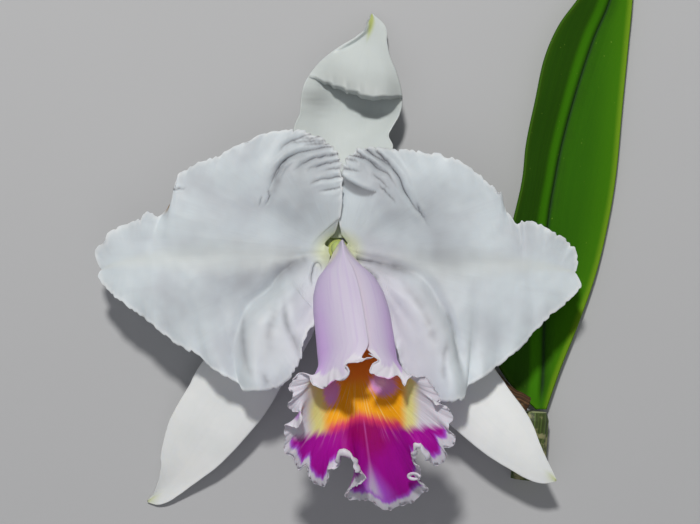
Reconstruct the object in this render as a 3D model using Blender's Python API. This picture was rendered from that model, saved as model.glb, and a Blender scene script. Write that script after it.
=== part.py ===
# A cattleya orchid as cut: one open bloom on its stalk, the sheath that the stalk comes out of,
# one leaf, and the top of the cane that both grow from. It lies on its back, the bloom facing up.
# +Z is up, +Y runs towards the tip of the upper sepal, and the origin is on the flat under the
# stalk's bend. All sizes are in millimetres until a mesh is made, which is in metres.

import math

import bmesh
import bpy
import numpy as np

METRES = 0.001

# Thickness of each kind of blade, and the gap kept between neighbours
PETAL_THICK = 0.9
SEPAL_THICK = 1.1
LIP_THICK = 0.8
SHEATH_THICK = 0.8
LEAF_THICK = 1.6
GAP = 0.3

# The top of the ovary, where every part of the bloom is attached
HUB_RADIUS = 3.6
HUB_TOP = 25.0
CLAW_REACH = HUB_RADIUS + 0.5

# The cane: its axis lies one radius over the surface
CANE_RADIUS = 5.9
CANE_TOP = (66.3, -55.0, CANE_RADIUS)
CANE_CUT = (64.6, -78.0, CANE_RADIUS)

STALK_RADIUS = 2.2
# The stalk's cross sections are first turned from this direction, square to the bend's plane
STALK_SIDE = (0.61, 0.79, 0.05)
SHEATH_WIDE = 3.6
SHEATH_DEEP = STALK_RADIUS + GAP + SHEATH_THICK * 0.5 + 0.2

# Colours: red, green, blue in linear light, then roughness
PETAL_WHITE = (0.72, 0.74, 0.80, 0.55)
SEPAL_WHITE = (0.70, 0.74, 0.73, 0.55)
LIP_PURPLE = (0.40, 0.06, 0.36, 0.50)
COLUMN_CREAM = (0.62, 0.66, 0.40, 0.45)
CAP_IVORY = (0.78, 0.76, 0.62, 0.45)
POLLEN_YELLOW = (0.72, 0.48, 0.06, 0.50)
STALK_GREEN = (0.22, 0.34, 0.10, 0.50)
SHEATH_BROWN = (0.09, 0.05, 0.02, 0.75)
LEAF_GREEN = (0.05, 0.17, 0.02, 0.40)
CANE_GREEN = (0.12, 0.18, 0.05, 0.55)

# Left petal: its two edges and its rib, each from the claw to the tip
LEFT_PETAL_UPPER = [
    (-CLAW_REACH, 1.7, 22.8), (-4.2, 4.3, 23.7), (-1.4, 7.4, 25.8), (1.2, 12, 29), (1.6, 20, 31),
    (0.6, 30, 30.5),
    (-3, 35.5, 27.5), (-11, 39.5, 25), (-17.5, 39.7, 26), (-24, 38.5, 27.5), (-31, 36, 28),
    (-37, 32.5, 28), (-44, 29.5, 27.5), (-52, 26, 27), (-54, 21, 27), (-55.5, 15.5, 25.5),
    (-59, 11.5, 24.5), (-62.5, 13, 25.5), (-67, 9.5, 26), (-74, 7, 25), (-80, 1.5, 23.5),
    (-80.5, -2.5, 23), (-79, -6.5, 22.5)]
LEFT_PETAL_RIB = [
    (-CLAW_REACH, 0, 22.8), (-12.5, -1.5, 24.5), (-22.5, -2.5, 26.5), (-35.5, -2, 28),
    (-49, -2.5, 28), (-62, -3, 26.5), (-72.5, -4.5, 24.5), (-79, -6.5, 22.5)]
LEFT_PETAL_LOWER = [
    (-CLAW_REACH, -2, 22.8), (-5, -6.5, 24), (-5.6, -12, 26.4), (-7.8, -22.5, 29.6), (-11, -29.5, 31.5),
    (-12.5, -37, 31), (-17.5, -44, 29), (-23, -46, 28), (-30.5, -46.5, 27.5), (-33.5, -43.5, 28.2),
    (-41, -39.5, 29.5), (-46, -35, 28.5), (-53, -31.5, 28), (-61, -25, 27), (-70, -18.5, 25.5),
    (-76.5, -13.5, 24), (-80, -9.5, 23), (-79, -6.5, 22.5)]

LEFT_PETAL_PLEAT = [
    (-9, -2.9, 0), (-18, -7.2, 0), (-23, -13, 0), (-29.5, -19, 0), (-33, -27, 0), (-33.5, -36, 0),
    (-33.5, -44, 0)]

# Right petal, in the same order
RIGHT_PETAL_UPPER = [
    (CLAW_REACH, 2.2, 22.8), (2.2, 5.5, 25.2), (0.6, 10, 27), (0.5, 20, 28.6), (1.8, 28, 28.8),
    (5.5, 33, 27.5), (11, 34, 26), (17.5, 33.5, 25.5), (28.5, 32.5, 27), (36.5, 31, 27.5),
    (45.5, 26, 28), (51, 20.5, 27.2), (53.5, 20, 27), (55.5, 13.5, 26.5), (59.5, 9, 25.5),
    (61.5, 10, 27), (65.5, 9, 26.5), (75, 3.5, 25.5), (79.5, -1.5, 24.5), (79, -7.5, 24)]
RIGHT_PETAL_RIB = [
    (CLAW_REACH, 0, 22.8), (12.5, -2.5, 24.5), (24, -4, 26.5), (37, -4.5, 28),
    (50, -4.5, 28), (63.5, -5, 26.5), (72, -6, 25.3), (79, -7.5, 24)]
RIGHT_PETAL_LOWER = [
    (CLAW_REACH, -1.6, 22.8), (9.5, -7.5, 25), (14, -15.5, 27), (17, -25, 28), (19.5, -33.5, 29),
    (22.5, -42, 30), (28.5, -47.5, 31), (35, -49.5, 31), (41, -48.8, 30.2), (42.4, -45.4, 29),
    (44.4, -43.5, 28.5), (47, -42, 28.5), (52.5, -38.5, 28), (61, -31.5, 27), (69, -23, 26), (77, -16.5, 25),
    (80.5, -12, 24.5), (79, -7.5, 24)]

RIGHT_PETAL_PLEAT = [
    (6.4, -2.8, 0), (17.8, -5.4, 0), (27.6, -9.5, 0), (33, -17.5, 0), (38, -27, 0), (40.5, -37, 0),
    (42.5, -46, 0)]

# The pleat runs from the claw to the notch in the lower edge, and the lobe inside it stands higher
PLEAT_DEPTH = 2.6
PLEAT_FADE = 0.5
PLEAT_WIDTH = 2.4
LOBE_LIFT = 2.6
LOBE_WIDTH = 6.5

# Each petal is dished on its rib and hollowed under it, and banked up towards the other petal:
# middle, half widths, height
LEFT_SWELLS = [(-19.0, 4.0, 15.0, 12.0, -2.6), (-14.0, 23.0, 12.0, 10.0, 2.2), (-27.0, -16.0, 15.0, 9.0, -2.6)]
RIGHT_SWELLS = [(20.0, 4.0, 15.0, 12.0, -2.6), (16.0, 20.0, 12.0, 10.0, 2.2), (32.0, -10.0, 14.0, 9.0, -2.6)]

# Height of the petals' edge waves and how many there are, the puckers beside the claw, and the
# groove along the rib with its width as a share of half the blade
EDGE_WAVE = 0.9
EDGE_WAVES = 9
PUCKER = 0.6
PUCKER_TURNS = 26
RIB_GROOVE = 1.2
RIB_GROOVE_SHARE = 0.10

# Upper sepal: it stands behind the petals, buckles half way up and leans back to its tip
UPPER_SEPAL_LEFT = [
    (-2.5, CLAW_REACH, 19.5), (-5.5, 11.5, 19), (-10, 21.5, 18.5), (-13.5, 32, 18), (-15, 40, 17.5),
    (-13, 46, 17), (-12.5, 51, 17), (-11.5, 55.5, 17), (-9.5, 59.5, 16), (-6, 63.5, 14.5),
    (-1, 67.5, 12), (4.5, 71, 9), (9, 75, 6), (10, 78, 3.5), (11.5, 81.5, 0.8)]
UPPER_SEPAL_RIB = [
    (0, CLAW_REACH, 19.5), (0, 16.5, 19.5), (0.5, 28.5, 17.5), (1.5, 38.5, 14.5), (2.5, 46.5, 13.5),
    (4, 52, 15), (6, 59, 16), (8.5, 67.5, 12), (10.3, 75, 6), (11.5, 81.5, 0.8)]
UPPER_SEPAL_RIGHT = [
    (2.5, CLAW_REACH, 19.5), (6, 11.5, 20), (11.5, 22, 20), (16, 30, 19), (18.5, 34.5, 18),
    (17, 38.5, 17), (18, 41, 16.5), (20.5, 45.5, 16), (21.5, 50, 16.5), (21, 54.5, 16.5),
    (19.5, 60, 14), (17.5, 65.5, 11), (16.5, 71, 8), (16, 76.5, 4.5), (11.5, 81.5, 0.8)]

# The buckle: a ridge that overhangs the blade below it. Along the ridge, from left to right, how far
# it stands out and how far the blade below it is pressed in, each as share of the ridge and height
RIDGE_LINE = [
    (-11.5, 58.6, 0), (-8.9, 57.5, 0), (-4, 56, 0), (0.6, 54.7, 0), (5, 52.7, 0), (8, 52.1, 0),
    (14, 51.5, 0), (20.4, 51.2, 0), (23, 51, 0)]
RIDGE_RISE = [(0, 0), (0.08, 0.5), (0.35, 4.5), (0.6, 8.0), (0.8, 7.0), (0.93, 2.0), (1, 0.5)]
RIDGE_DROP = [(0, 0), (0.08, 0.3), (0.35, 3.2), (0.6, 6.5), (0.78, 6.5), (0.88, 2.0), (1, 0)]
RIDGE_REACH = 9.0
HOLLOW_REACH = 9.5
WALL_HALF = 0.9
OVERHANG = 1.1
OVERHANG_REACH = 3.2
EDGE_ROLL = 1.6
EDGE_ROLL_SHARE = 0.3
# The blade's rows stand closer together at the ridge: where each stretch begins, and its rows
UPPER_SEPAL_ROWS = [(0.0, 10), (0.58, 13), (0.74, 8)]

# Lower sepals: they spread under the petals, and the left one droops to the surface
LEFT_SEPAL_OUTER = [
    (-CLAW_REACH, -1.2, 19), (-13, -4, 19.5), (-26, -13.5, 19), (-36.5, -26.5, 18), (-46, -38, 16),
    (-51.5, -47.5, 13.5), (-57.5, -58, 10.5), (-60.5, -69, 7.5), (-60.5, -73, 6.5),
    (-61.5, -78, 4.5), (-63.5, -83.5, 2), (-66, -86.5, 0.8)]
LEFT_SEPAL_RIB = [
    (-2.9, -2.9, 19), (-14.5, -18.5, 20.5), (-25.5, -33.5, 19), (-34.5, -47, 15.8),
    (-44, -60.5, 11.5), (-52, -72.5, 7), (-59, -81.5, 2.8), (-66, -86.5, 0.8)]
LEFT_SEPAL_INNER = [
    (-1.2, -CLAW_REACH, 19), (-4.5, -16.5, 19), (-9.5, -30, 18), (-19, -45.5, 16.5),
    (-23.5, -53.5, 15), (-31.5, -63.5, 12.5), (-40.5, -73, 9), (-47, -78, 6.5), (-53.5, -83, 4),
    (-58, -86, 2.5), (-62, -87.3, 1.3), (-66, -86.5, 0.8)]
RIGHT_SEPAL_INNER = [
    (1.2, -CLAW_REACH, 19), (8, -20, 19), (19, -37, 19), (30.5, -52, 19), (37, -58, 19),
    (49, -68, 18), (61, -75.5, 17.3), (68, -78.2, 17), (73.5, -77.5, 17.3)]
RIGHT_SEPAL_RIB = [
    (2.9, -2.9, 19), (15.5, -16.5, 20.5), (29, -31.5, 20.8), (41.5, -46, 20.3),
    (52.5, -58.5, 19.3), (62.5, -68, 18.3), (73.5, -77.5, 17.3)]
RIGHT_SEPAL_OUTER = [
    (CLAW_REACH, -1.2, 19), (20.5, -11.5, 19), (37.5, -25, 19.5), (47.5, -33.5, 19),
    (53, -40.5, 18.7), (58, -47.5, 18.5), (64.5, -57, 18), (69, -68, 17.8), (73.5, -77.5, 17.3)]

# Leaf: a trough whose keel lies on the surface, the left half standing steeper than the right
LEAF_LEFT = [
    (67.8, -54.3, 4.4), (60.5, -47.5, 5.6), (55, -40, 7.4), (52, -30.5, 10), (53.5, -17, 12),
    (56.5, -1.5, 12.5), (62, 21.5, 13), (63.7, 36, 13), (66.7, 50.5, 13), (69.8, 64.5, 12.5),
    (74.5, 75.5, 12), (81, 84.5, 11), (89, 95, 9.5), (97.5, 106, 7)]
LEAF_KEEL = [
    (69.4, -54.4, 3.4), (70.3, -40, 1.6), (70.5, -28.5, 0.9), (71.5, 5.5, 0.85), (74.5, 26, 0.85),
    (77.5, 40, 0.85), (82, 56, 0.9), (87.5, 72.5, 1.2), (93, 86, 2.4), (97.5, 106, 7)]
LEAF_RIGHT = [
    (70.9, -54.3, 4.8), (76, -40, 4.2), (82.5, -24, 4), (88.5, -7, 4), (92.5, 10, 4),
    (95, 26, 4), (97, 48, 4), (99, 68.5, 4.5), (100.5, 85.5, 5), (100.5, 96, 5.8), (97.5, 106, 7)]

# Middle line of ovary and stalk: down from the bloom, round the bend, and off to the cane
STALK_LINE = [
    (0, 0, HUB_TOP), (0, 0, 21), (-0.6, 0.5, 17.5), (-3.6, 2.8, 13), (-6.6, 5.1, 9),
    (-7.3, 5.6, 5), (-4.4, 3.4, 2.2), (0.5, -0.4, 1.8), (6, -4.6, 2.3), (12.5, -9.5, 3.5),
    (20, -15.2, 5.6), (29, -22.4, 8.6), (38.5, -31, 11.8), (46.3, -39, 12.7), (52.5, -45.4, 12.2),
    (58, -50, 11.2), (61.0, -51.2, 10.7), (62.6, -52.1, 10.4), (63.6, -52.6, 10.2)]
STALK_SIZES = [
    (0, HUB_RADIUS), (0.04, HUB_RADIUS), (0.09, 3.3), (0.17, 2.7), (0.25, 2.6), (0.40, 2.3),
    (0.70, STALK_RADIUS), (1, STALK_RADIUS)]

# Stretches of the stalk that the sheath and the bract are rolled round, as shares of its length,
# then their half widths and half depths, and the angle that each is rolled through to either side
SHEATH_SPAN = (1.0, 0.62)
SHEATH_WIDES = [(0, 2.95), (0.3, SHEATH_WIDE), (0.7, SHEATH_WIDE), (1, 3.2)]
SHEATH_DEEPS = [(0, 2.95), (1, SHEATH_DEEP)]
SHEATH_ROLL = [(0, 150), (0.7, 150), (0.9, 110), (1, 40)]
BRACT_SPAN = (0.36, 0.30)
BRACT_WIDES = [(0, 3.2), (1, 3.5)]
BRACT_DEEPS = [(0, 3.1), (1, 3.4)]
BRACT_ROLL = [(0, 100), (0.5, 80), (1, 12)]

# Column: from the top of the ovary, up the inside of the lip's tube
COLUMN_LINE = [
    (0, 0.7, HUB_TOP + GAP), (0.1, 0.2, 28), (1, -5, 31.8), (2.2, -12, 35.5), (3.5, -19, 39.2),
    (4.4, -23.5, 41.8)]
COLUMN_WIDTHS = [(0, 2.4), (0.12, 1.9), (0.3, 2.3), (0.7, 3.3), (0.92, 4.0), (1, 3.6)]
COLUMN_DEPTHS = [(0, 2.4), (0.12, 2.1), (0.3, 2.3), (0.7, 2.8), (1, 2.9)]
CAP_RADIUS = 2.6
CAP_WALL = 0.6
POLLEN_RADIUS = 0.75
POLLEN_THICK = 0.8

# Lip tube: the lines along its underside and its top, and its half width, from back to mouth
TUBE_FLOOR = [
    (0, -2.7, HUB_TOP + GAP + 0.45), (1.2, -7, 27.4), (2.4, -14, 30.6), (3.6, -22, 34),
    (4.8, -32, 37.8), (5.8, -43, 40.5)]
TUBE_ROOF = [
    (1.4, 3.2, 31.8), (2.2, -3, 38.5), (3.6, -9, 45), (4.9, -15.5, 50.2), (6, -22, 54.2),
    (7, -28.5, 57.5)]
TUBE_WIDTHS = [
    (0, 3.0), (0.1, 3.9), (0.21, 6.6), (0.33, 9.6), (0.46, 11.3), (0.6, 12), (1, 12.3)]
# The top of the tube is folded to a keel at its back, and rounds off by this share of its length
KEEL_END = 0.36

# Margin of the lip: the rolled rim over the mouth on each side, and the frill of the front lobe
RIM_LEFT = [
    (11.5, -33.4, 62.2), (8, -34.6, 62.6), (4.5, -35, 63), (2.5, -36, 63), (3.5, -38.5, 64),
    (2, -40.5, 63), (-0.5, -40.5, 61), (-2.5, -42.5, 59), (-5, -44, 58), (-7, -42.5, 57.5),
    (-8.5, -40, 57.5), (-11, -39, 56), (-14, -41, 54), (-16, -44, 51.5)]
FRILL = [
    (-16, -44, 51.5), (-14, -46.5, 54), (-16, -50.5, 49), (-12.5, -52, 51), (-11, -54, 54),
    (-13, -57, 53), (-17, -56, 49), (-17, -60, 45), (-17, -65.5, 42), (-14.5, -67, 42.5),
    (-13, -71, 39.5), (-10, -70, 42), (-9, -74, 39.5), (-5, -77, 37), (-3, -74, 41), (-3, -70, 44),
    (0, -69.5, 46), (1, -66, 49), (3.5, -66, 50), (6, -67, 49.5), (7, -70.5, 48), (9, -73.5, 46),
    (5.5, -76.5, 42), (2.5, -79.5, 37.5), (4.5, -81.5, 35), (9.5, -82, 33), (13.5, -84.5, 31),
    (17, -85, 30), (21.5, -84, 30), (24.5, -82.5, 31), (27.5, -80, 33), (29.5, -78, 35),
    (26.5, -76, 37), (27, -72.5, 40), (24, -68, 45), (24.5, -64, 49), (27, -63, 50), (29, -65, 49),
    (30.5, -69, 45), (33.5, -69, 43), (35, -66.5, 44), (34, -63.5, 46.5), (36.5, -63.5, 45.5),
    (38, -60.5, 46), (35, -57, 49), (37, -54, 48.5), (34.5, -50, 51.5), (31, -49.5, 53.5),
    (32.5, -47, 51.5), (30.5, -44, 53.5), (28.5, -40.5, 55)]
RIM_RIGHT = [
    (28.5, -40.5, 55), (25.5, -40.5, 57), (23.5, -39.5, 57.5), (22, -41.5, 58.5), (21, -43, 59.5),
    (20, -40.5, 58.5), (18, -40, 59), (16, -40.5, 60), (13, -39.5, 60.5), (10.5, -38.5, 61),
    (11, -36.2, 60.6), (12.5, -34.5, 60), (10, -32.6, 59)]
# Angle round the tube, from its underside, at which each stretch of the margin begins and ends
RIM_START = -193.0
FRILL_START = -100.0
FRILL_END = 100.0
RIM_END = 176.0
LAP_LIFT = 1.7
# Faces along each stretch of the margin, and rows along the tube and from the mouth outwards
MARGIN_FACES = (13, 62, 12)
TUBE_ROWS = 7
FLARE_ROWS = 8
# Points over which the margin is evened before the frill is put on, and how far it dips on the way
MARGIN_EVENING = 9
FLARE_DIP = 0.35


def clear_scene():
    for item in list(bpy.data.objects):
        bpy.data.objects.remove(item, do_unlink=True)


def plain_material(name, finish):
    material = bpy.data.materials.new(name)
    material.use_nodes = True
    surface = material.node_tree.nodes["Principled BSDF"]
    surface.inputs["Base Color"].default_value = (*finish[:3], 1.0)
    surface.inputs["Roughness"].default_value = finish[3]
    surface.inputs["Metallic"].default_value = 0.0
    return material


def curve_through(points, fractions):
    # Points on a smooth curve through the given ones, at fractions of its length
    known = np.array(points, dtype=float)
    before = np.vstack([2 * known[0] - known[1], known, 2 * known[-1] - known[-2]])
    step = np.linspace(0, 1, 16, endpoint=False)[:, None]
    run = []
    for k in range(len(known) - 1):
        a, b, c, d = before[k:k + 4]
        run.append(0.5 * (2 * b + (c - a) * step + (2 * a - 5 * b + 4 * c - d) * step ** 2
                          + (3 * b - a - 3 * c + d) * step ** 3))
    run = np.vstack(run + [known[-1:]])
    length = np.concatenate([[0], np.cumsum(np.linalg.norm(np.diff(run, axis=0), axis=1))])
    wanted = np.asarray(fractions) * length[-1]
    return np.stack([np.interp(wanted, length, run[:, k]) for k in range(3)], axis=1)


def size_along(stations, fractions):
    places, sizes = zip(*stations)
    return np.interp(fractions, places, sizes)


def smooth_step(low, high, value):
    share = np.clip((value - low) / (high - low), 0, 1)
    return share * share * (3 - 2 * share)


def even_rows(rows):
    return np.linspace(0, 1, rows + 1)


def blade_grid(left, rib, right, along, columns, fold):
    # Rows run from the claw to the tip; fold is 0 for a rounded trough and 1 for a sharp one
    across = np.linspace(-1, 1, columns + 1)
    a, m, b = (curve_through(line, along)[:, None, :] for line in (left, rib, right))
    v = across[None, :, None]
    rounded = m * (1 - v * v) + a * (v * v - v) * 0.5 + b * (v * v + v) * 0.5
    sharp = m + np.where(v < 0, (a - m) * -v, (b - m) * v)
    grid = rounded * (1 - fold) + sharp * fold
    return grid, along[:, None], across[None, :]


def sheet_faces(rows, columns, pointed):
    # Triangles of a grid, whose last row is one point where the blade is pointed
    def place(i, j):
        return i * (columns + 1) + (0 if pointed and i == rows else j)
    faces = []
    for i in range(rows):
        for j in range(columns):
            corners = [place(i, j), place(i + 1, j), place(i + 1, j + 1), place(i, j + 1)]
            halves = [(0, 1, 2), (0, 2, 3)] if (i + j) % 2 == 0 else [(0, 1, 3), (1, 2, 3)]
            for half in halves:
                face = [corners[k] for k in half]
                if len(set(face)) == 3:
                    faces.append(face)
    return faces


def add_object(name, verts, faces, finish):
    mesh = bpy.data.meshes.new(name)
    mesh.from_pydata([tuple(v * METRES for v in vert) for vert in verts], [], faces)
    work = bmesh.new()
    work.from_mesh(mesh)
    bmesh.ops.delete(work, geom=[v for v in work.verts if not v.link_faces], context="VERTS")
    bmesh.ops.recalc_face_normals(work, faces=work.faces)
    work.to_mesh(mesh)
    work.free()
    mesh.shade_smooth()
    mesh.materials.append(plain_material(name + "_finish", finish))
    item = bpy.data.objects.new(name, mesh)
    bpy.context.scene.collection.objects.link(item)
    return item


def add_blade(name, grid, pointed, thick, finish):
    # A sheet of triangles made thick evenly to both sides, so both faces are split alike
    rows, columns = grid.shape[0] - 1, grid.shape[1] - 1
    item = add_object(name, grid.reshape(-1, 3).tolist(), sheet_faces(rows, columns, pointed), finish)
    solid = item.modifiers.new("thickness", "SOLIDIFY")
    solid.thickness = thick * METRES
    solid.offset = 0.0
    return item


def frames_along(line):
    # Unit vectors along, sideways and upwards at each point of a line
    ahead = np.gradient(line, axis=0)
    ahead /= np.linalg.norm(ahead, axis=1)[:, None]
    side = np.zeros_like(ahead)
    side[0] = np.cross(ahead[0], STALK_SIDE)
    for k in range(len(line)):
        last = side[max(k - 1, 0)]
        side[k] = last - ahead[k] * np.dot(last, ahead[k])
        side[k] /= np.linalg.norm(side[k])
    return ahead, side, np.cross(side, ahead)


def add_rod(name, line, widths, depths, sides, finish, floor=None):
    # A solid rod round a line; below the floor it is pressed flat
    ahead, side, up = frames_along(line)
    verts = []
    for k, middle in enumerate(line):
        for turn in range(sides):
            angle = 2 * math.pi * (turn + 0.5) / sides
            vert = middle + side[k] * widths[k] * math.cos(angle) + up[k] * depths[k] * math.sin(angle)
            if floor is not None:
                vert[2] = max(vert[2], floor)
            verts.append(vert)
    faces = [list(range(sides)), list(range((len(line) - 1) * sides, len(line) * sides))]
    for k in range(len(line) - 1):
        for turn in range(sides):
            after = (turn + 1) % sides
            low, high = k * sides, (k + 1) * sides
            faces.append([low + turn, low + after, high + after])
            faces.append([low + turn, high + after, high + turn])
    return add_object(name, verts, faces, finish)


def beside_line(grid, line):
    # Signed distance of every point from a line seen from above, and the nearest share of the line
    run = curve_through(line, np.linspace(0, 1, 60))[:, :2]
    ahead = np.gradient(run, axis=0)
    apart = grid[:, :, None, :2] - run
    nearest = np.linalg.norm(apart, axis=3).argmin(axis=2)
    near = np.take_along_axis(apart, nearest[:, :, None, None], axis=2)[:, :, 0]
    facing = ahead[nearest]
    side = np.sign(facing[:, :, 0] * near[:, :, 1] - facing[:, :, 1] * near[:, :, 0])
    return side * np.linalg.norm(near, axis=2), nearest / 59


def press_pleat(grid, line, inner_side):
    # A soft valley along the line and a swelling beside it, on the side next to the lip
    away, share = beside_line(grid, line)
    swell = np.exp(-((inner_side * away - LOBE_WIDTH) / LOBE_WIDTH) ** 2)
    valley = PLEAT_DEPTH * (1 - PLEAT_FADE * share) * np.exp(-(away / PLEAT_WIDTH) ** 2)
    grid[:, :, 2] += smooth_step(0, 0.3, share) * (LOBE_LIFT * swell - valley)


def add_petal(name, upper, rib, lower, pleat, swells, inner_side, phase):
    grid, along, across = blade_grid(upper, rib, lower, even_rows(25), columns=18, fold=0.25)
    press_pleat(grid, pleat, inner_side)
    for x, y, wide, long, height in swells:
        apart = ((grid[:, :, 0] - x) / wide) ** 2 + ((grid[:, :, 1] - y) / long) ** 2
        grid[:, :, 2] += height * np.exp(-apart)
    inside = np.sin(math.pi * np.clip(along, 0, 1))
    # Soft waves that run out to the edge, and the puckers beside the claw
    edge = np.abs(across) ** 3
    wave = np.sin(2 * math.pi * (along * EDGE_WAVES + phase) + across * 1.3)
    grid[:, :, 2] += EDGE_WAVE * edge * wave * smooth_step(0.2, 0.4, along) \
        * smooth_step(0, 0.08, 1 - along)
    pucker = np.sin(across * PUCKER_TURNS + along * 5)
    reach = smooth_step(0.10, 0.22, along) * smooth_step(0, 0.2, 0.5 - along)
    grid[:, :, 2] += PUCKER * pucker * reach * smooth_step(0.15, 0.5, np.abs(across))
    # The rib lies in a shallow groove that fades towards the tip
    groove = np.exp(-(across / RIB_GROOVE_SHARE) ** 2) * inside * smooth_step(0, 0.7, 0.9 - along)
    grid[:, :, 2] -= RIB_GROOVE * groove
    return add_blade(name, grid, True, PETAL_THICK, PETAL_WHITE)


def add_upper_sepal():
    ends = [start for start, rows in UPPER_SEPAL_ROWS[1:]] + [1.0]
    stretches = [np.linspace(start, end, rows, endpoint=False)
                 for (start, rows), end in zip(UPPER_SEPAL_ROWS, ends)]
    grid, along, across = blade_grid(
        UPPER_SEPAL_LEFT, UPPER_SEPAL_RIB, UPPER_SEPAL_RIGHT, np.concatenate(stretches + [[1.0]]),
        columns=10, fold=0.0)
    away, share = beside_line(grid, RIDGE_LINE)
    rise, drop = size_along(RIDGE_RISE, share), size_along(RIDGE_DROP, share)
    wall = smooth_step(-WALL_HALF, WALL_HALF, away)
    crest = rise * np.exp(-np.maximum(away, 0) / RIDGE_REACH)
    hollow = drop * np.exp(-(np.minimum(away, 0) / HOLLOW_REACH) ** 2)
    grid[:, :, 2] += crest * wall - hollow * (1 - wall)
    # Above the wall the blade is drawn down over it, and below the wall it is tucked in
    drawn = np.sign(-away) * np.exp(-(away / OVERHANG_REACH) ** 2) * OVERHANG
    grid[:, :, 1] += drawn * rise / max(height for place, height in RIDGE_RISE)
    grid[:, :, 2] += EDGE_ROLL * smooth_step(1 - EDGE_ROLL_SHARE, 1, -across) \
        * smooth_step(0.60, 0.70, along) * smooth_step(0, 0.12, 1 - along)
    return add_blade("sepal_dorsal", grid, True, SEPAL_THICK, SEPAL_WHITE)


def add_lower_sepal(name, left, rib, right):
    grid, along, across = blade_grid(left, rib, right, even_rows(16), columns=7, fold=0.15)
    grid[:, :, 2] += 0.8 * (across ** 2) * np.sin(math.pi * along) * np.sin(along * 9)
    return add_blade(name, grid, True, SEPAL_THICK, SEPAL_WHITE)


def add_leaf():
    grid, along, across = blade_grid(
        LEAF_LEFT, LEAF_KEEL, LEAF_RIGHT, even_rows(26), columns=8, fold=0.7)
    sway = np.sin(along * 13) * np.sin(math.pi * along)
    grid[:, :, 2] += 0.7 * (across ** 2) * sway
    return add_blade("leaf", grid, True, LEAF_THICK, LEAF_GREEN)


def tube_ring(share, turn):
    # One point of the lip's tube: share from back to mouth, turn in radians from its underside
    floor = curve_through(TUBE_FLOOR, share)
    roof = curve_through(TUBE_ROOF, share)
    wide = size_along(TUBE_WIDTHS, share)[:, None]
    middle, half = (floor + roof) * 0.5, (roof - floor) * 0.5
    ring = middle[:, None, :] - half[:, None, :] * np.cos(turn)[None, :, None]
    height, side = -np.cos(turn)[None, :], np.sin(turn)[None, :]
    gable = np.where(height > 0, np.sign(side) * (1 - height), side)
    keel = smooth_step(0, KEEL_END, KEEL_END - share)[:, None]
    ring[:, :, 0] += wide * (side * (1 - keel) + gable * keel)
    return ring


def lip_margin(columns):
    # The margin read at even steps, and the angle round the tube that each step belongs to
    stretches = [(RIM_LEFT, RIM_START, FRILL_START), (FRILL, FRILL_START, FRILL_END),
                 (RIM_RIGHT, FRILL_END, RIM_END)]
    points, turns = [], []
    for (stretch, start, end), count in zip(stretches, columns):
        share = np.linspace(0, 1, count + 1)
        points.append(curve_through(stretch, share)[:-1])
        turns.append((start + (end - start) * share)[:-1])
    points.append(np.array(RIM_RIGHT[-1:], dtype=float))
    turns.append(np.array([RIM_END]))
    return np.vstack(points), np.radians(np.concatenate(turns))


def evened(points, reach):
    # Each point moved to the mean of its neighbours, weighted towards the nearer ones
    weights = np.hanning(2 * reach + 3)[1:-1]
    weights /= weights.sum()
    padded = np.pad(points, ((reach, reach), (0, 0)), mode="edge")
    return np.stack([np.convolve(padded[:, k], weights, mode="valid") for k in range(3)], axis=1)


def add_lip():
    margin, turn = lip_margin(MARGIN_FACES)
    calm = evened(margin, MARGIN_EVENING)
    ring = tube_ring(np.linspace(0, 1, TUBE_ROWS + 1), turn)
    # The left side laps over the right one along the top of the tube
    lap = smooth_step(math.radians(120), math.radians(185), -turn)
    ring[:, :, 2] += LAP_LIFT * lap[None, :]
    # From the mouth the wall runs on in a curve to the margin, and bends back towards it
    mouth = ring[-1]
    forward = mouth - ring[-2]
    forward /= np.linalg.norm(forward, axis=1)[:, None]
    span = np.linalg.norm(calm - mouth, axis=1)[:, None]
    leave = forward * span
    arrive = (calm - mouth) - np.array([0, 0, FLARE_DIP]) * span
    rows = [ring[k] for k in range(TUBE_ROWS + 1)]
    for k in range(1, FLARE_ROWS + 1):
        w = k / FLARE_ROWS
        body = (mouth * (2 * w ** 3 - 3 * w ** 2 + 1) + leave * (w ** 3 - 2 * w ** 2 + w)
                + calm * (3 * w ** 2 - 2 * w ** 3) + arrive * (w ** 3 - w ** 2))
        rows.append(body + (margin - calm) * w ** 4)
    return add_blade("lip", np.array(rows), False, LIP_THICK, LIP_PURPLE)


def add_stalk():
    share = np.linspace(0, 1, 38)
    line = curve_through(STALK_LINE, share)
    radius = size_along(STALK_SIZES, share)
    return add_rod("flower_stalk", line, radius, radius, 12, STALK_GREEN, floor=0.0)


def add_wrap(name, span, wides, deeps, roll, finish):
    # A bract: a blade rolled round a stretch of the stalk, tapering to a point
    rows, columns = 10, 8
    share = np.linspace(*span, rows + 1)
    line = curve_through(STALK_LINE, share)
    ahead, side, up = frames_along(line)
    place = np.linspace(0, 1, rows + 1)
    wrap = np.radians(size_along(roll, place))
    grid = np.zeros((rows + 1, columns + 1, 3))
    across = np.linspace(-1, 1, columns + 1)
    for k in range(rows + 1):
        top = np.array([0, 0, 1.0]) - ahead[k] * ahead[k][2]
        top /= np.linalg.norm(top)
        out = np.cross(ahead[k], top)
        turn = across * wrap[k]
        wide_here = size_along(wides, place[k])
        deep_here = size_along(deeps, place[k])
        sideways = np.outer(np.sin(turn) * wide_here, out)
        upwards = np.outer(np.cos(turn) * deep_here, top)
        grid[k] = line[k] + sideways + upwards
    return add_blade(name, grid, False, SHEATH_THICK, finish)


def add_cane():
    share = np.linspace(0, 1, 9)
    line = curve_through([CANE_TOP, CANE_CUT], share)
    radius = size_along([(0, 4.9), (0.12, 5.8), (0.5, CANE_RADIUS), (1, 5.9)], share)
    return add_rod("pseudobulb", line, radius, radius, 16, CANE_GREEN)


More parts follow.
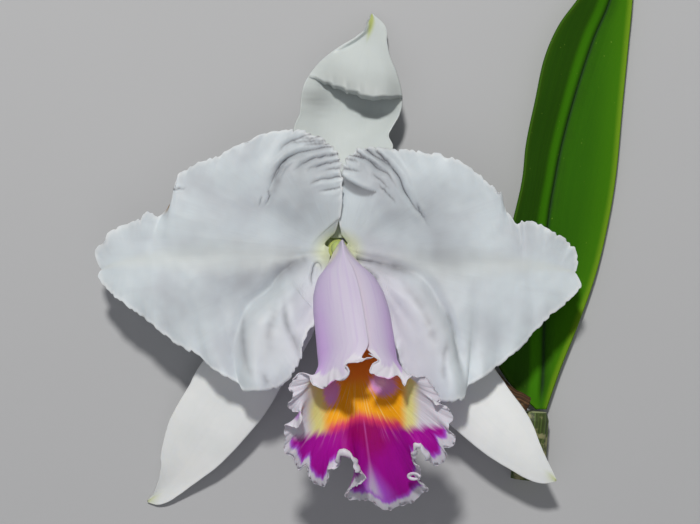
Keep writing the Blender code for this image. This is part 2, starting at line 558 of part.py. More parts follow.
def add_column():
    share = np.linspace(0, 1, 15)
    line = curve_through(COLUMN_LINE, share)
    item = add_rod("column", line, size_along(COLUMN_WIDTHS, share), size_along(COLUMN_DEPTHS, share),
                   14, COLUMN_CREAM)
    ahead, side, up = frames_along(line)
    return line[-1], ahead[-1], side[-1], up[-1]


def add_cap_and_pollen(tip, ahead, side, up):
    # The anther cap is a small dome open towards the column, with four discs of pollen in it
    sides, arc = 14, 5
    inner = CAP_RADIUS - CAP_WALL
    profile = [(CAP_RADIUS * math.cos(a), CAP_RADIUS * 0.95 * math.sin(a))
               for a in (math.pi * 0.5 * k / arc for k in range(arc))]
    profile_in = [(inner * math.cos(a), inner * 0.9 * math.sin(a))
                  for a in (math.pi * 0.5 * k / arc for k in range(arc))]
    base = tip + ahead * GAP
    rings, verts = profile[::-1] + profile_in, []
    for radius, height in rings:
        for turn in range(sides):
            angle = 2 * math.pi * turn / sides
            verts.append(base + ahead * height + (side * math.cos(angle) + up * math.sin(angle)) * radius)
    verts.append(base + ahead * CAP_RADIUS * 0.95)
    verts.append(base + ahead * inner * 0.9)
    top, under = len(verts) - 2, len(verts) - 1
    faces = []
    for turn in range(sides):
        after = (turn + 1) % sides
        faces.append([top, turn, after])
        for k in range(len(rings) - 1):
            low, high = k * sides, (k + 1) * sides
            faces.append([low + turn, high + turn, high + after])
            faces.append([low + turn, high + after, low + after])
        last = (len(rings) - 1) * sides
        faces.append([last + turn, under, last + after])
    add_object("anther_cap", verts, faces, CAP_IVORY)

    reach = POLLEN_RADIUS * 0.9
    discs = []
    for across, along in ((-1, -1), (1, -1), (-1, 1), (1, 1)):
        middle = base + side * across * reach + up * along * reach
        discs.append(add_disc("pollen_disc", middle, ahead, side, up))
    whole = discs[0]
    group = bpy.data.collections.new("pollen_discs")
    for disc in discs[1:]:
        group.objects.link(disc)
    union = whole.modifiers.new("join", "BOOLEAN")
    union.operation = "UNION"
    union.operand_type = "COLLECTION"
    union.collection = group
    union.solver = "MANIFOLD"
    joined = bpy.data.meshes.new_from_object(whole.evaluated_get(bpy.context.evaluated_depsgraph_get()))
    whole.modifiers.clear()
    whole.data = joined
    whole.name = "pollinia"
    for disc in discs[1:]:
        bpy.data.objects.remove(disc, do_unlink=True)
    bpy.data.collections.remove(group)


def add_disc(name, middle, ahead, side, up):
    sides = 10
    verts, faces = [], []
    for height, radius in ((0, 0.8), (0.3, 1.0), (0.7, 1.0), (1, 0.75)):
        for turn in range(sides):
            angle = 2 * math.pi * turn / sides
            verts.append(middle + ahead * height * POLLEN_THICK
                         + (side * math.cos(angle) + up * math.sin(angle)) * radius * POLLEN_RADIUS)
    for k in range(3):
        low, high = k * sides, (k + 1) * sides
        for turn in range(sides):
            after = (turn + 1) % sides
            faces.append([low + turn, low + after, high + after, high + turn])
    faces.append(list(range(sides)))
    faces.append(list(range(3 * sides, 4 * sides)))
    return add_object(name, verts, faces, POLLEN_YELLOW)


def build():
    clear_scene()
    add_petal("petal_left", LEFT_PETAL_UPPER, LEFT_PETAL_RIB, LEFT_PETAL_LOWER,
              LEFT_PETAL_PLEAT, LEFT_SWELLS, 1, 0.1)
    add_petal("petal_right", RIGHT_PETAL_UPPER, RIGHT_PETAL_RIB, RIGHT_PETAL_LOWER,
              RIGHT_PETAL_PLEAT, RIGHT_SWELLS, -1, 0.6)
    add_upper_sepal()
    add_lower_sepal("sepal_left", LEFT_SEPAL_OUTER, LEFT_SEPAL_RIB, LEFT_SEPAL_INNER)
    add_lower_sepal("sepal_right", RIGHT_SEPAL_INNER, RIGHT_SEPAL_RIB, RIGHT_SEPAL_OUTER)
    add_lip()
    add_stalk()
    tip, ahead, side, up = add_column()
    add_cap_and_pollen(tip, ahead, side, up)
    add_wrap("sheath", SHEATH_SPAN, SHEATH_WIDES, SHEATH_DEEPS, SHEATH_ROLL, SHEATH_BROWN)
    add_wrap("stalk_bract", BRACT_SPAN, BRACT_WIDES, BRACT_DEEPS, BRACT_ROLL, SHEATH_BROWN)
    add_leaf()
    add_cane()


build()
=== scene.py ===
# A cattleya orchid as picked, laid on its back with the bloom facing up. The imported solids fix
# every piece's place and size; this script gives each piece its fine surface and its finish.
# Shapes are worked out in millimetres and turned into metres when their mesh is made.

import math

import bpy
import numpy as np
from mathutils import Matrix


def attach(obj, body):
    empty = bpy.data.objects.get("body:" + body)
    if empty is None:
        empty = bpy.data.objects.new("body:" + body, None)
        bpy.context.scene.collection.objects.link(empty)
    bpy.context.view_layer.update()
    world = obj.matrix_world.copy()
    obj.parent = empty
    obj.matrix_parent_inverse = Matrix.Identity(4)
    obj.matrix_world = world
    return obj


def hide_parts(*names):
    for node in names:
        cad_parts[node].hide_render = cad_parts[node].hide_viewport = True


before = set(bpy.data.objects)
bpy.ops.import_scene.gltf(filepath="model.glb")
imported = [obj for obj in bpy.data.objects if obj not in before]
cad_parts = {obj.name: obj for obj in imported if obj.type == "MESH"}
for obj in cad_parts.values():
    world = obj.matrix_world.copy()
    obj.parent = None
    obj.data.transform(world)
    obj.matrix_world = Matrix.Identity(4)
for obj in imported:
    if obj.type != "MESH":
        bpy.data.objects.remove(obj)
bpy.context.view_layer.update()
print("frame loaded,", len(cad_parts), "nodes")

metresPerMm = 0.001
body = "root"

# where every part of the bloom is attached, as in the solids
hub = {"radius": 3.6, "top": 25.0, "gap": 0.3}
clawReach = hub["radius"] + 0.5


# small maths

def smoothStep(low, high, value):
    share = np.clip((value - low) / (high - low), 0, 1)
    return share * share * (3 - 2 * share)


def hump(distance, width):
    return np.exp(-(distance / width) ** 2)


def softNoise(x, y, seed):
    # smooth random heights between -1 and 1, one lattice step from bump to bump
    size = 64
    heights = np.random.default_rng(seed).uniform(-1, 1, (size, size))
    x, y = np.broadcast_arrays(np.asarray(x, dtype=float), np.asarray(y, dtype=float))
    column, row = np.floor(x).astype(int), np.floor(y).astype(int)
    right, up = (share * share * (3 - 2 * share) for share in (x - column, y - row))
    low, high = (heights[column % size, level % size] * (1 - right)
                 + heights[(column + 1) % size, level % size] * right for level in (row, row + 1))
    return low * (1 - up) + high * up


def runAlong(points, axis=0):
    # mm run from the first point of each line of points
    steps = np.cumsum(np.linalg.norm(np.diff(points, axis=axis), axis=-1), axis=axis)
    return np.insert(steps, 0, 0, axis=axis)


def curveThrough(points, fractions):
    # a smooth curve through the points, read at fractions of its length; a fourth value rides along
    known = np.array(points, dtype=float)
    before = np.vstack([2 * known[0] - known[1], known, 2 * known[-1] - known[-2]])
    step = np.linspace(0, 1, 40, endpoint=False)[:, None]
    run = []
    for k in range(len(known) - 1):
        a, b, c, d = before[k:k + 4]
        run.append(0.5 * (2 * b + (c - a) * step + (2 * a - 5 * b + 4 * c - d) * step ** 2
                          + (3 * b - a - 3 * c + d) * step ** 3))
    run = np.vstack(run + [known[-1:]])
    length = runAlong(run[:, :3])
    wanted = np.asarray(fractions) * length[-1]
    return np.stack([np.interp(wanted, length, run[:, k]) for k in range(known.shape[1])], axis=1)


def sizeAlong(stations, fractions):
    places, sizes = zip(*stations)
    return np.interp(fractions, places, sizes)


def evened(points, reach):
    # each point moved to the weighted mean of its neighbours
    weights = np.hanning(2 * reach + 3)[1:-1]
    weights /= weights.sum()
    padded = np.pad(points, ((reach, reach), (0, 0)), mode="edge")
    return np.stack([np.convolve(column, weights, mode="valid") for column in padded.T], axis=1)


def unit(vectors):
    return vectors / np.maximum(np.linalg.norm(vectors, axis=-1, keepdims=True), 1e-9)


def mounds(x, y, places):
    # smooth mounds added up: where each stands, how wide it is both ways, and how high
    return sum(high * np.exp(-((x - atX) / wideX) ** 2 - ((y - atY) / wideY) ** 2)
               for atX, atY, wideX, wideY, high in places)


def triples(*values):
    # three numbers for each point of a mesh, which its material reads
    return np.stack(np.broadcast_arrays(*values), axis=-1)


# sheets: a grid of points from claw to tip and from edge to edge

def bladeGrid(left, rib, right, along, across, fold):
    # fold is 0 for a rounded trough and 1 for a sharp one
    a, m, b = (curveThrough(line, along)[:, None, :] for line in (left, rib, right))
    v = across[None, :, None]
    rounded = m * (1 - v * v) + a * (v * v - v) * 0.5 + b * (v * v + v) * 0.5
    sharp = m + np.where(v < 0, (a - m) * -v, (b - m) * v)
    return rounded * (1 - fold) + sharp * fold


def sheetNormals(grid):
    normal = unit(np.cross(np.gradient(grid, axis=0), np.gradient(grid, axis=1)))
    facing = 1.0 if normal[:, :, 2].sum() > 0 else -1.0
    return normal * facing, facing


def edgeDistances(grid):
    # distance in mm from each point to either long edge, measured across the blade
    fromLeft = runAlong(grid, 1)
    return fromLeft, fromLeft[:, -1:] - fromLeft


def foldAlong(grid, line, profile, reach=12):
    # heights by each point's signed distance from a line drawn on the sheet
    count = 90
    run = curveThrough([(*point[:2], 0) for point in line], np.linspace(0, 1, count))[:, :2]
    ahead = np.gradient(run, axis=0)
    low = run.min(axis=0) - reach
    high = run.max(axis=0) + reach
    near = np.all((grid[:, :, :2] > low) & (grid[:, :, :2] < high), axis=2)
    points = grid[near][:, :2]
    apart = points[:, None, :] - run[None, :, :]
    nearest = np.linalg.norm(apart, axis=2).argmin(axis=1)
    offset = np.take_along_axis(apart, nearest[:, None, None], axis=1)[:, 0]
    facing = ahead[nearest]
    side = np.sign(facing[:, 0] * offset[:, 1] - facing[:, 1] * offset[:, 0])
    heights = np.zeros(grid.shape[:2])
    heights[near] = profile(side * np.linalg.norm(offset, axis=1), nearest / (count - 1))
    return heights


def pressGroove(grid, crease, line, depth, width):
    # a sharp valley between two soft swells, with painted shade along its bottom; a groove that starts
    # at the blade's edge is open there, and every other end dies out; the wide ones are soft folds
    edges = np.concatenate([grid[:, 0], grid[:, -1]])[:, :2]
    atEdge = np.linalg.norm(edges - line[0][:2], axis=1).min() < 1.6
    opening = 0.02 if atEdge else 0.3
    own = line[0][1] * 7.3

    def fade(share):
        uneven = 1 + 0.35 * softNoise(share * 14, own, 8)
        return uneven * smoothStep(0, opening, share + 0.3 * opening) * smoothStep(0, 0.5, 1 - share) ** 0.8

    def wander(distance, share):
        return distance + 0.22 * softNoise(share * 11, own, 9)

    def profile(distance, share):
        away = np.sqrt(wander(distance, share) ** 2 + 0.02) - 0.14
        return fade(share) * depth * (0.35 * hump(away - 2.4 * width, 1.5 * width) - np.exp(-away / width))

    isSoft = width >= 0.9
    grooveShadeWide = width if isSoft else 0.24 + 0.3 * width
    grooveShadeShare = 0.25 + 0.25 * depth if isSoft else min(1.0, 0.45 + 0.6 * depth)

    def grooveShadeAt(distance, share):
        return fade(share) * hump(wander(distance, share), grooveShadeWide) * grooveShadeShare
    grooveShade = foldAlong(grid, line, grooveShadeAt, 3)
    grid[:, :, 2] += foldAlong(grid, line, profile)
    np.maximum(crease, grooveShade, out=crease)


def ruffleEdges(grid, teeth, ruffle, seed, torn=()):
    # fine teeth in the outline and soft ruffles behind it, on both long edges; ragged where it is torn
    normal = sheetNormals(grid)[0]
    share = np.linspace(0, 1, len(grid))
    fade = smoothStep(*teeth["from"], share) * smoothStep(0, 0.03, 1 - share)
    for side, distance in enumerate(edgeDistances(grid)):
        edge, inner = (grid[:, -1], grid[:, -5]) if side else (grid[:, 0], grid[:, 4])
        run = runAlong(edge)
        outward = unit(edge - inner)
        cut = (softNoise(run / teeth["long"], side * 9.5, seed) * teeth["deep"]
               + softNoise(run / teeth["short"], side * 9.5, seed + 1) * teeth["fine"])
        cut = np.where(cut < 0, cut * 1.5, cut * 0.7) * fade
        for atX, atY, wide, deep in torn:
            near = mounds(edge[:, 0], edge[:, 1], [(atX, atY, wide, wide, deep)])
            cut += near * softNoise(run / 0.8, side * 3.5, seed + 4)
        wave = (softNoise(run / ruffle["long"], side * 5.5, seed + 2) * ruffle["high"]
                + softNoise(run / ruffle["short"], side * 5.5, seed + 3) * ruffle["small"])
        grid += outward[:, None, :] * (cut[:, None] * hump(distance, teeth["reach"]))[:, :, None]
        grid += normal * ((wave * fade)[:, None] * np.exp(-distance / ruffle["reach"]))[:, :, None]


def thinned(form, distance, wide):
    # as thick as the form says, thinner towards the edge
    return form["thinEdge"] + (form["thick"] - form["thinEdge"]) * smoothStep(0, wide, distance)


# meshes

def addMesh(name, points, faces, materials, faceMaterials=None, values=None):
    mesh = bpy.data.meshes.new(name)
    mesh.from_pydata((points * metresPerMm).tolist(), [], faces)
    for key, data in (values or {}).items():
        attribute = mesh.attributes.new(key, "FLOAT_VECTOR", "POINT")
        attribute.data.foreach_set("vector", np.ascontiguousarray(data, dtype=np.float32).ravel())
    for material in materials:
        mesh.materials.append(material)
    if faceMaterials is not None:
        mesh.polygons.foreach_set("material_index", faceMaterials)
    mesh.shade_smooth()
    mesh.update()
    piece = bpy.data.objects.new(name, mesh)
    bpy.context.scene.collection.objects.link(piece)
    return piece


def place(piece, node):
    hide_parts(node)
    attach(piece, body)


def thickSheet(name, grid, thickness, materials, values):
    # both faces of the sheet and the narrow rim between them, as one closed mesh
    normal, facing = sheetNormals(grid)
    half = (np.broadcast_to(thickness, grid.shape[:2]) * 0.5)[:, :, None]
    points = np.concatenate([(grid + normal * half).reshape(-1, 3), (grid - normal * half).reshape(-1, 3)])
    rows, columns = grid.shape[:2]
    top = np.arange(rows * columns).reshape(rows, columns)
    under = top + rows * columns
    corners = (
        (top[:-1, :-1], top[1:, :-1], top[1:, 1:], top[:-1, 1:]),
        (under[:-1, 1:], under[1:, 1:], under[1:, :-1], under[:-1, :-1]),
        (top[0, :-1], top[0, 1:], under[0, 1:], under[0, :-1]),
        (top[-1, 1:], top[-1, :-1], under[-1, :-1], under[-1, 1:]),
        (top[1:, 0], top[:-1, 0], under[:-1, 0], under[1:, 0]),
        (top[:-1, -1], top[1:, -1], under[1:, -1], under[:-1, -1]))
    upper, lower, *rims = (np.stack(four, axis=-1).reshape(-1, 4) for four in corners)
    faces = np.concatenate([upper, lower, *rims])
    if facing < 0:
        faces = faces[:, ::-1]
    slots = np.zeros(len(faces), dtype=np.int32)
    slots[len(upper):len(upper) + len(lower)] = len(materials) - 1
    doubled = {key: np.concatenate([data.reshape(-1, 3)] * 2) for key, data in values.items()}
    return addMesh(name, points, faces.tolist(), materials, slots, doubled)


def framesAlong(line, firstSide):
    # unit vectors along, sideways and upwards at each point of a line
    ahead = unit(np.gradient(line, axis=0))
    side = np.zeros_like(ahead)
    side[0] = np.cross(ahead[0], firstSide)
    for k in range(len(line)):
        last = side[max(k - 1, 0)]
        side[k] = unit(last - ahead[k] * np.dot(last, ahead[k]))
    return ahead, side, np.cross(side, ahead)


def beside(line, side, up, sideways, upwards):
    # points at each station of a line, so far sideways and so far upwards from it
    return line[:, None] + side[:, None] * sideways[:, :, None] + up[:, None] * upwards[:, :, None]


def anglesRound(sides):
    return 2 * math.pi * (np.arange(sides) + 0.5) / sides


def ringsRound(line, widths, depths, firstSide, swelling):
    # rings of points square to a line, the swelling added to both radii
    side, up = framesAlong(line, firstSide)[1:]
    angle = anglesRound(swelling.shape[1])
    return beside(line, side, up, (widths[:, None] + swelling) * np.cos(angle),
                  (depths[:, None] + swelling) * np.sin(angle))


def facesBetween(count, sides, first=0):
    # the point numbers of the rings, each one's neighbour, and the faces from ring to ring
    index = first + np.arange(count * sides).reshape(count, sides)
    after = np.roll(index, -1, axis=1)
    quads = np.stack([index[:-1], after[:-1], after[1:], index[1:]], axis=-1).reshape(-1, 4)
    return index, after, quads.tolist()


def closedSkin(name, rings, ends, materials, values=None, endSlot=0):
    # a skin over rings of points that closes on a centre point at each end
    count, sides = rings.shape[:2]
    index, after, faces = facesBetween(count, sides)
    points = np.concatenate([rings.reshape(-1, 3), ends])
    slots = np.zeros(len(faces) + 2 * sides, dtype=np.int32)
    slots[:2 * sides] = endSlot
    slots[-4 * sides:] = endSlot
    faces += [[count * sides, after[0, k], index[0, k]] for k in range(sides)]
    faces += [[count * sides + 1, index[-1, k], after[-1, k]] for k in range(sides)]
    # turned round if the skin came out inside out
    corners = points[np.array([face[:3] for face in faces])] - points.mean(axis=0)
    if np.einsum("ij,ij->i", corners[:, 0], np.cross(corners[:, 1], corners[:, 2])).sum() < 0:
        faces = [face[::-1] for face in faces]
    return addMesh(name, points, faces, materials, slots, values)


def thickRod(name, rings, materials, values, endSlot=0):
    # each end is closed by two smaller rings
    middle = rings.mean(axis=1, keepdims=True)
    start, end = ([middle[k] + (rings[k] - middle[k]) * share for share in shares]
                  for k, shares in ((0, (0.35, 0.7)), (-1, (0.7, 0.35))))
    padded = {}
    for key, data in values.items():
        full = np.concatenate([data[:1]] * 2 + [data] + [data[-1:]] * 2).reshape(-1, 3)
        padded[key] = np.concatenate([full, data[[0, -1]].mean(axis=1)])
    allRings = np.concatenate([start, rings, end])
    return closedSkin(name, allRings, middle[[0, -1], 0], materials, padded, endSlot)


# materials

def linearColour(hexText):
    # sRGB hex to linear light
    shares = [int(hexText[k:k + 2], 16) / 255 for k in (1, 3, 5)]
    return tuple(s / 12.92 if s <= 0.04045 else ((s + 0.055) / 1.055) ** 2.4 for s in shares) + (1.0,)


def setInput(tree, socket, value):
    # a value, a hex colour, a socket, or a node whose first output is used; None leaves it as it is
    if isinstance(value, str):
        value = linearColour(value)
    if isinstance(value, bpy.types.Node):
        value = next(s for s in value.outputs if s.enabled)
    if isinstance(value, bpy.types.NodeSocket):
        tree.links.new(value, socket)
    elif value is not None:
        socket.default_value = value


def addNode(tree, kind, *inputs, **settings):
    # one node with its settings, and its inputs in their order
    node = tree.nodes.new("ShaderNode" + kind)
    for key, value in settings.items():
        setattr(node, key, value)
    for socket, value in zip([s for s in node.inputs if s.enabled], inputs):
        setInput(tree, socket, value)
    return node


soft = {"interpolation_type": "SMOOTHSTEP"}
times, timesPlus, unsigned = ({"operation": name} for name in ("MULTIPLY", "MULTIPLY_ADD", "ABSOLUTE"))


def startMaterial(name, surface):
    # a material, with the sockets that are the same all over it
    material = bpy.data.materials.new(name)
    material.use_nodes = True
    tree = material.node_tree
    for key, value in surface.items():
        setInput(tree, tree.nodes["Principled BSDF"].inputs[key], value)
    return material, tree


def readValues(tree, key):
    # what the mesh says at each point: its three numbers together, then one by one
    vector = addNode(tree, "Attribute", attribute_name=key).outputs["Vector"]
    return vector, *addNode(tree, "SeparateXYZ", vector).outputs


def streaksAlong(tree, vector, across, along, detail=3.0, roughness=None):
    # noise drawn out along one way, so many streaks to a unit each way
    stretched = addNode(tree, "VectorMath", vector, (across, along, 0.0), **times)
    return addNode(tree, "TexNoise", stretched, 1.0, detail, roughness)


def perMetre(sizeMm):
    return 1 / (sizeMm * metresPerMm)


def paint(tree, finish, base, layers):
    # the base colour with others laid over it; a layer is a colour and where it shows: ranges of some
    # value, from none at one number to all at the next, or between two shares given, multiplied
    colour = finish[base]
    for over, *ranges in layers:
        shares = [addNode(tree, "MapRange", *part, **soft) if isinstance(part, tuple) else part
                  for part in ranges]
        share = addNode(tree, "Math", *shares, **times) if len(shares) > 1 else shares[0]
        over = finish[over] if isinstance(over, str) else over
        colour = addNode(tree, "Mix", share, colour, over, data_type="RGBA")
    return colour


def finishMaterial(material, finish, base, layers, *reliefs):
    # the painted colour, and bumps one on another: each has its pattern, its strength and its mm
    tree = material.node_tree
    normal = None
    for pattern, strength, deepMm in reliefs:
        normal = addNode(tree, "Bump", strength, deepMm * metresPerMm, None, pattern, normal)
    for key, value in (("Base Color", paint(tree, finish, base, layers)), ("Normal", normal)):
        setInput(tree, tree.nodes["Principled BSDF"].inputs[key], value)
    return material


# Petals

# a fresh petal: thin moist tissue of clear cells over air, so the eye sees a soft cool white,
# faint veins that fan out from the claw, and light that comes through near the edges
petalFinish = {
    "white": "#d6dfe5", "shadeTint": "#c7cdd4", "rib": "#d8ddda", "nearLip": "#d1cbd9", "claw": "#d3d896",
    "edge": "#eef1f4", "bruise": "#8f6a26", "crease": "#66656c",
    "cellMm": 0.45,   # cells are 0.05 mm; drawn coarser so that they show
    "surface": {"Roughness": 0.48, "IOR": 1.38, "Subsurface Weight": 0.35,
                "Subsurface Radius": (1.0, 0.85, 0.75), "Subsurface Scale": 1.4 * metresPerMm},
}


def petalTissue(bruise):
    finish = petalFinish
    material, tree = startMaterial("petalTissue", finish["surface"])
    fan, _, radius, lipNear = readValues(tree, "fan")
    _, _, across, edge = readValues(tree, "blade")
    _, crease, bright, _ = readValues(tree, "fold")
    here = addNode(tree, "TexCoord").outputs["Object"]
    veins = streaksAlong(tree, fan, 22.0, 0.05, 3.0, 0.6)
    cloud = addNode(tree, "TexNoise", here, 55.0, 3.0)
    cells = addNode(tree, "TexNoise", here, perMetre(finish["cellMm"]), 1.0)
    offRib = addNode(tree, "Math", across, **unsigned)
    layers = [
        ("shadeTint", (cloud, 0.35, 0.7)),
        ("shadeTint", (veins, 0.5, 0.7, 0, 0.2)),
        ("rib", (offRib, 0.22, 0, 0, 0.45)),
        ("nearLip", (lipNear, 0, 1, 0, 0.75)),
        ("edge", (edge, 2.2, 0, 0, 0.6)),
        ("claw", (radius, 9, 2.5, 0, 0.6))]
    if bruise:
        # a dry brownish nick in the upper edge
        middle = [v * metresPerMm for v in bruise["at"]]
        away = addNode(tree, "VectorMath", here, middle, operation="DISTANCE")
        layers.append(("bruise", (away, bruise["wide"] * metresPerMm, 0), (edge, 5, 1.5)))
    # painted light on the lobes in the pale colour of the edges, then painted shade in the creases, the
    # hollows and under the flap
    layers += [("edge", bright), ("crease", crease)]
    return finishMaterial(material, finish, "white", layers, (cells, 0.12, 0.06), (veins, 0.15, 0.3))


# what both petals share; the lengths are in mm, and waves and grooves repeat the solids'
petalForm = {
    "clawRows": 230, "farRows": 170, "denseTo": 0.42, "columnsUpper": 68, "columnsLower": 46, "fold": 0.25,
    "endShare": 0.996, "thick": 0.62, "thinEdge": 0.26,
    "pleatDeep": 2.6, "pleatWide": 2.4, "lobeLift": 2.6, "lobeWide": 6.5,
    "wave": 0.6, "waves": 9, "pucker": 0.12, "puckerTurns": 26, "ribGroove": 1.2, "ribShare": 0.10,
    "swell": 0.45, "swellMm": 13.0, "dimple": 0.10, "dimpleMm": 3.2, "veinRelief": 0.03,
    "teeth": {"from": (0.14, 0.26), "long": 3.1, "deep": 0.3, "short": 1.05, "fine": 0.6, "reach": 0.9},
    "ruffle": {"long": 5.5, "high": 0.25, "short": 2.0, "small": 0.22, "reach": 2.2},
}

# the left petal: its upper edge, rib and lower edge from claw to tip, then the folds pressed in it
leftPetal = {
    "node": "petal_left", "innerSide": 1, "phase": 0.1, "seed": 11, "mirror": -1,
    "upper": [
        (-2.7, 1.0, 25.5), (-3.5, 1.1, 25.3), (-4.3, 1.7, 24.6), (-4.4, 2.8, 23.9), (-3.0, 4.4, 23.8),
        (-1.4, 5.4, 24.2), (-0.4, 7.5, 25.6), (0.2, 9.8, 27.4), (1.0, 12, 29), (1.6, 20, 31),
        (0.6, 30, 30.5), (-3, 35.5, 27.5), (-11, 39.5, 25), (-17.5, 39.7, 26), (-24, 38.5, 27.5),
        (-31, 36, 28), (-37, 32.5, 28), (-44, 29.5, 27.5), (-52, 26, 27), (-54, 21, 27), (-55.5, 15.5, 25.5),
        (-59, 11.5, 24.5), (-62.5, 13, 25.5), (-67, 9.5, 26), (-74, 7, 25), (-80, 1.5, 23.5),
        (-80.5, -2.5, 23), (-79, -6.5, 22.5)],
    "rib": [
        (-2.7, -0.4, 25.5), (-5.2, -0.8, 24.9), (-12.5, -1.5, 24.5), (-22.5, -2.5, 26.5), (-35.5, -2, 28),
        (-49, -2.5, 28), (-62, -3, 26.5), (-72.5, -4.5, 24.5), (-79, -6.5, 22.5)],
    "lower": [
        (-2.7, -1.9, 25.5), (-3.0, -5.8, 24.3), (-3.4, -12, 25.9), (-6.8, -22.5, 29.3), (-11, -29.5, 31.5),
        (-12.5, -37, 31), (-17.5, -44, 29), (-23, -46, 28), (-30.5, -46.5, 27.5), (-33.5, -43.5, 28.2),
        (-41, -39.5, 29.5), (-46, -35, 28.5), (-53, -31.5, 28), (-61, -25, 27), (-70, -18.5, 25.5),
        (-76.5, -13.5, 24), (-80, -9.5, 23), (-79, -6.5, 22.5)],
    "pleat": [(-9, -2.9), (-18, -7.2), (-23, -13), (-29.5, -19), (-33, -27), (-33.5, -36), (-33.5, -44)],
    "swells": [(-19, 4, 15, 12, -2.6), (-14, 23, 12, 10, 2.2), (-27, -16, 15, 9, -2.6),
               (-28, -46, 13, 9, 1.8)],
    "shades": [(-12.5, 29, 11, 8, 0.34), (-12, 14, 12, 9, 0.26), (-27, -11, 13, 8, 0.32),
               (-16, -5.6, 8, 2.6, 0.26), (-50, -20, 13, 9, 0.18), (-46, 3, 12, 8, 0.14),
               (-39, 23, 9, 7, 0.14)],
    "torn": [(-55, 14, 3, 0.35), (-64, 12, 4, 0.25)],
    "lights": [(-22, -31, 8, 12, 0.42)],
    "grooves": [
        (0.45, 0.55, [(-3.5, 36), (-11, 36), (-15.5, 35.3), (-17.8, 33.3)]),
        (1.10, 0.60, [(-1.5, 34.3), (-7.5, 33.3), (-14, 31.8), (-17.5, 29.8), (-20.3, 26.2), (-22.5, 20.7),
                      (-23.8, 17.2)]),
        (0.60, 0.45, [(-15.5, 31.2), (-18.8, 28), (-20.6, 24), (-22, 20.5)]),
        (1.00, 0.50, [(0.6, 31.8), (-5, 30.8), (-9.5, 29.6), (-13, 27.5), (-15.8, 25.3)]),
        (0.75, 0.45, [(0.9, 29.3), (-5, 28.2), (-9, 26.8), (-10.8, 25.3)]),
        (0.35, 0.40, [(1.2, 26.9), (-1.5, 26.7), (-4.5, 26.1)]),
        (0.60, 0.50, [(1.4, 24.2), (-3.5, 23.4), (-7.5, 22.6), (-10.5, 20.6)]),
        (0.35, 0.60, [(1.2, 20.6), (-3, 19.9), (-7, 19.2)]),
        (0.40, 0.50, [(-8.5, 38.7), (-12.5, 37.3), (-17.5, 34.9), (-19.8, 31.6)]),
        (0.35, 0.50, [(-5.5, 37.8), (-9.5, 37), (-13.5, 36.9)]),
        (0.30, 0.50, [(-2.2, 35.4), (-8, 35), (-12.5, 34.2)]),
        (0.20, 1.30, [(-17, 29), (-19.5, 24.5), (-21, 20), (-23.5, 14)]),
        (0.45, 0.35, [(-23.2, 20), (-22.8, 17.5), (-24.2, 14.5)]),
        (0.30, 0.30, [(-25.2, 17.5), (-26.2, 14.5)]),
        (0.40, 0.28, [(-55.4, 20.4), (-53.5, 20.1), (-49.8, 20.4)]),
        (0.55, 1.50, [(-8.5, -2.2), (-12.5, -3.6), (-16.5, -5.6), (-21, -9.5), (-24, -14)]),
        (0.40, 1.10, [(-17.6, -17), (-17.2, -24), (-13.8, -31.5), (-12.6, -38.5)]),
        (0.50, 1.20, [(-31.5, -22), (-31.2, -31), (-29.8, -38), (-27.5, -44.5)]),
        (0.30, 0.95, [(-24.5, -41), (-22.5, -45.6)]),
        (0.50, 0.35, [(-8.9, -11.5), (-8.7, -7.5), (-7.9, -4.9), (-6.8, -4.1), (-5.8, -5.2), (-5.2, -8.0)]),
        (0.18, 1.60, [(-20, -19), (-22.5, -27), (-22, -36)])],
    "bruise": {"at": (-55.6, 14.9, 25.8), "wide": 4.6},
}

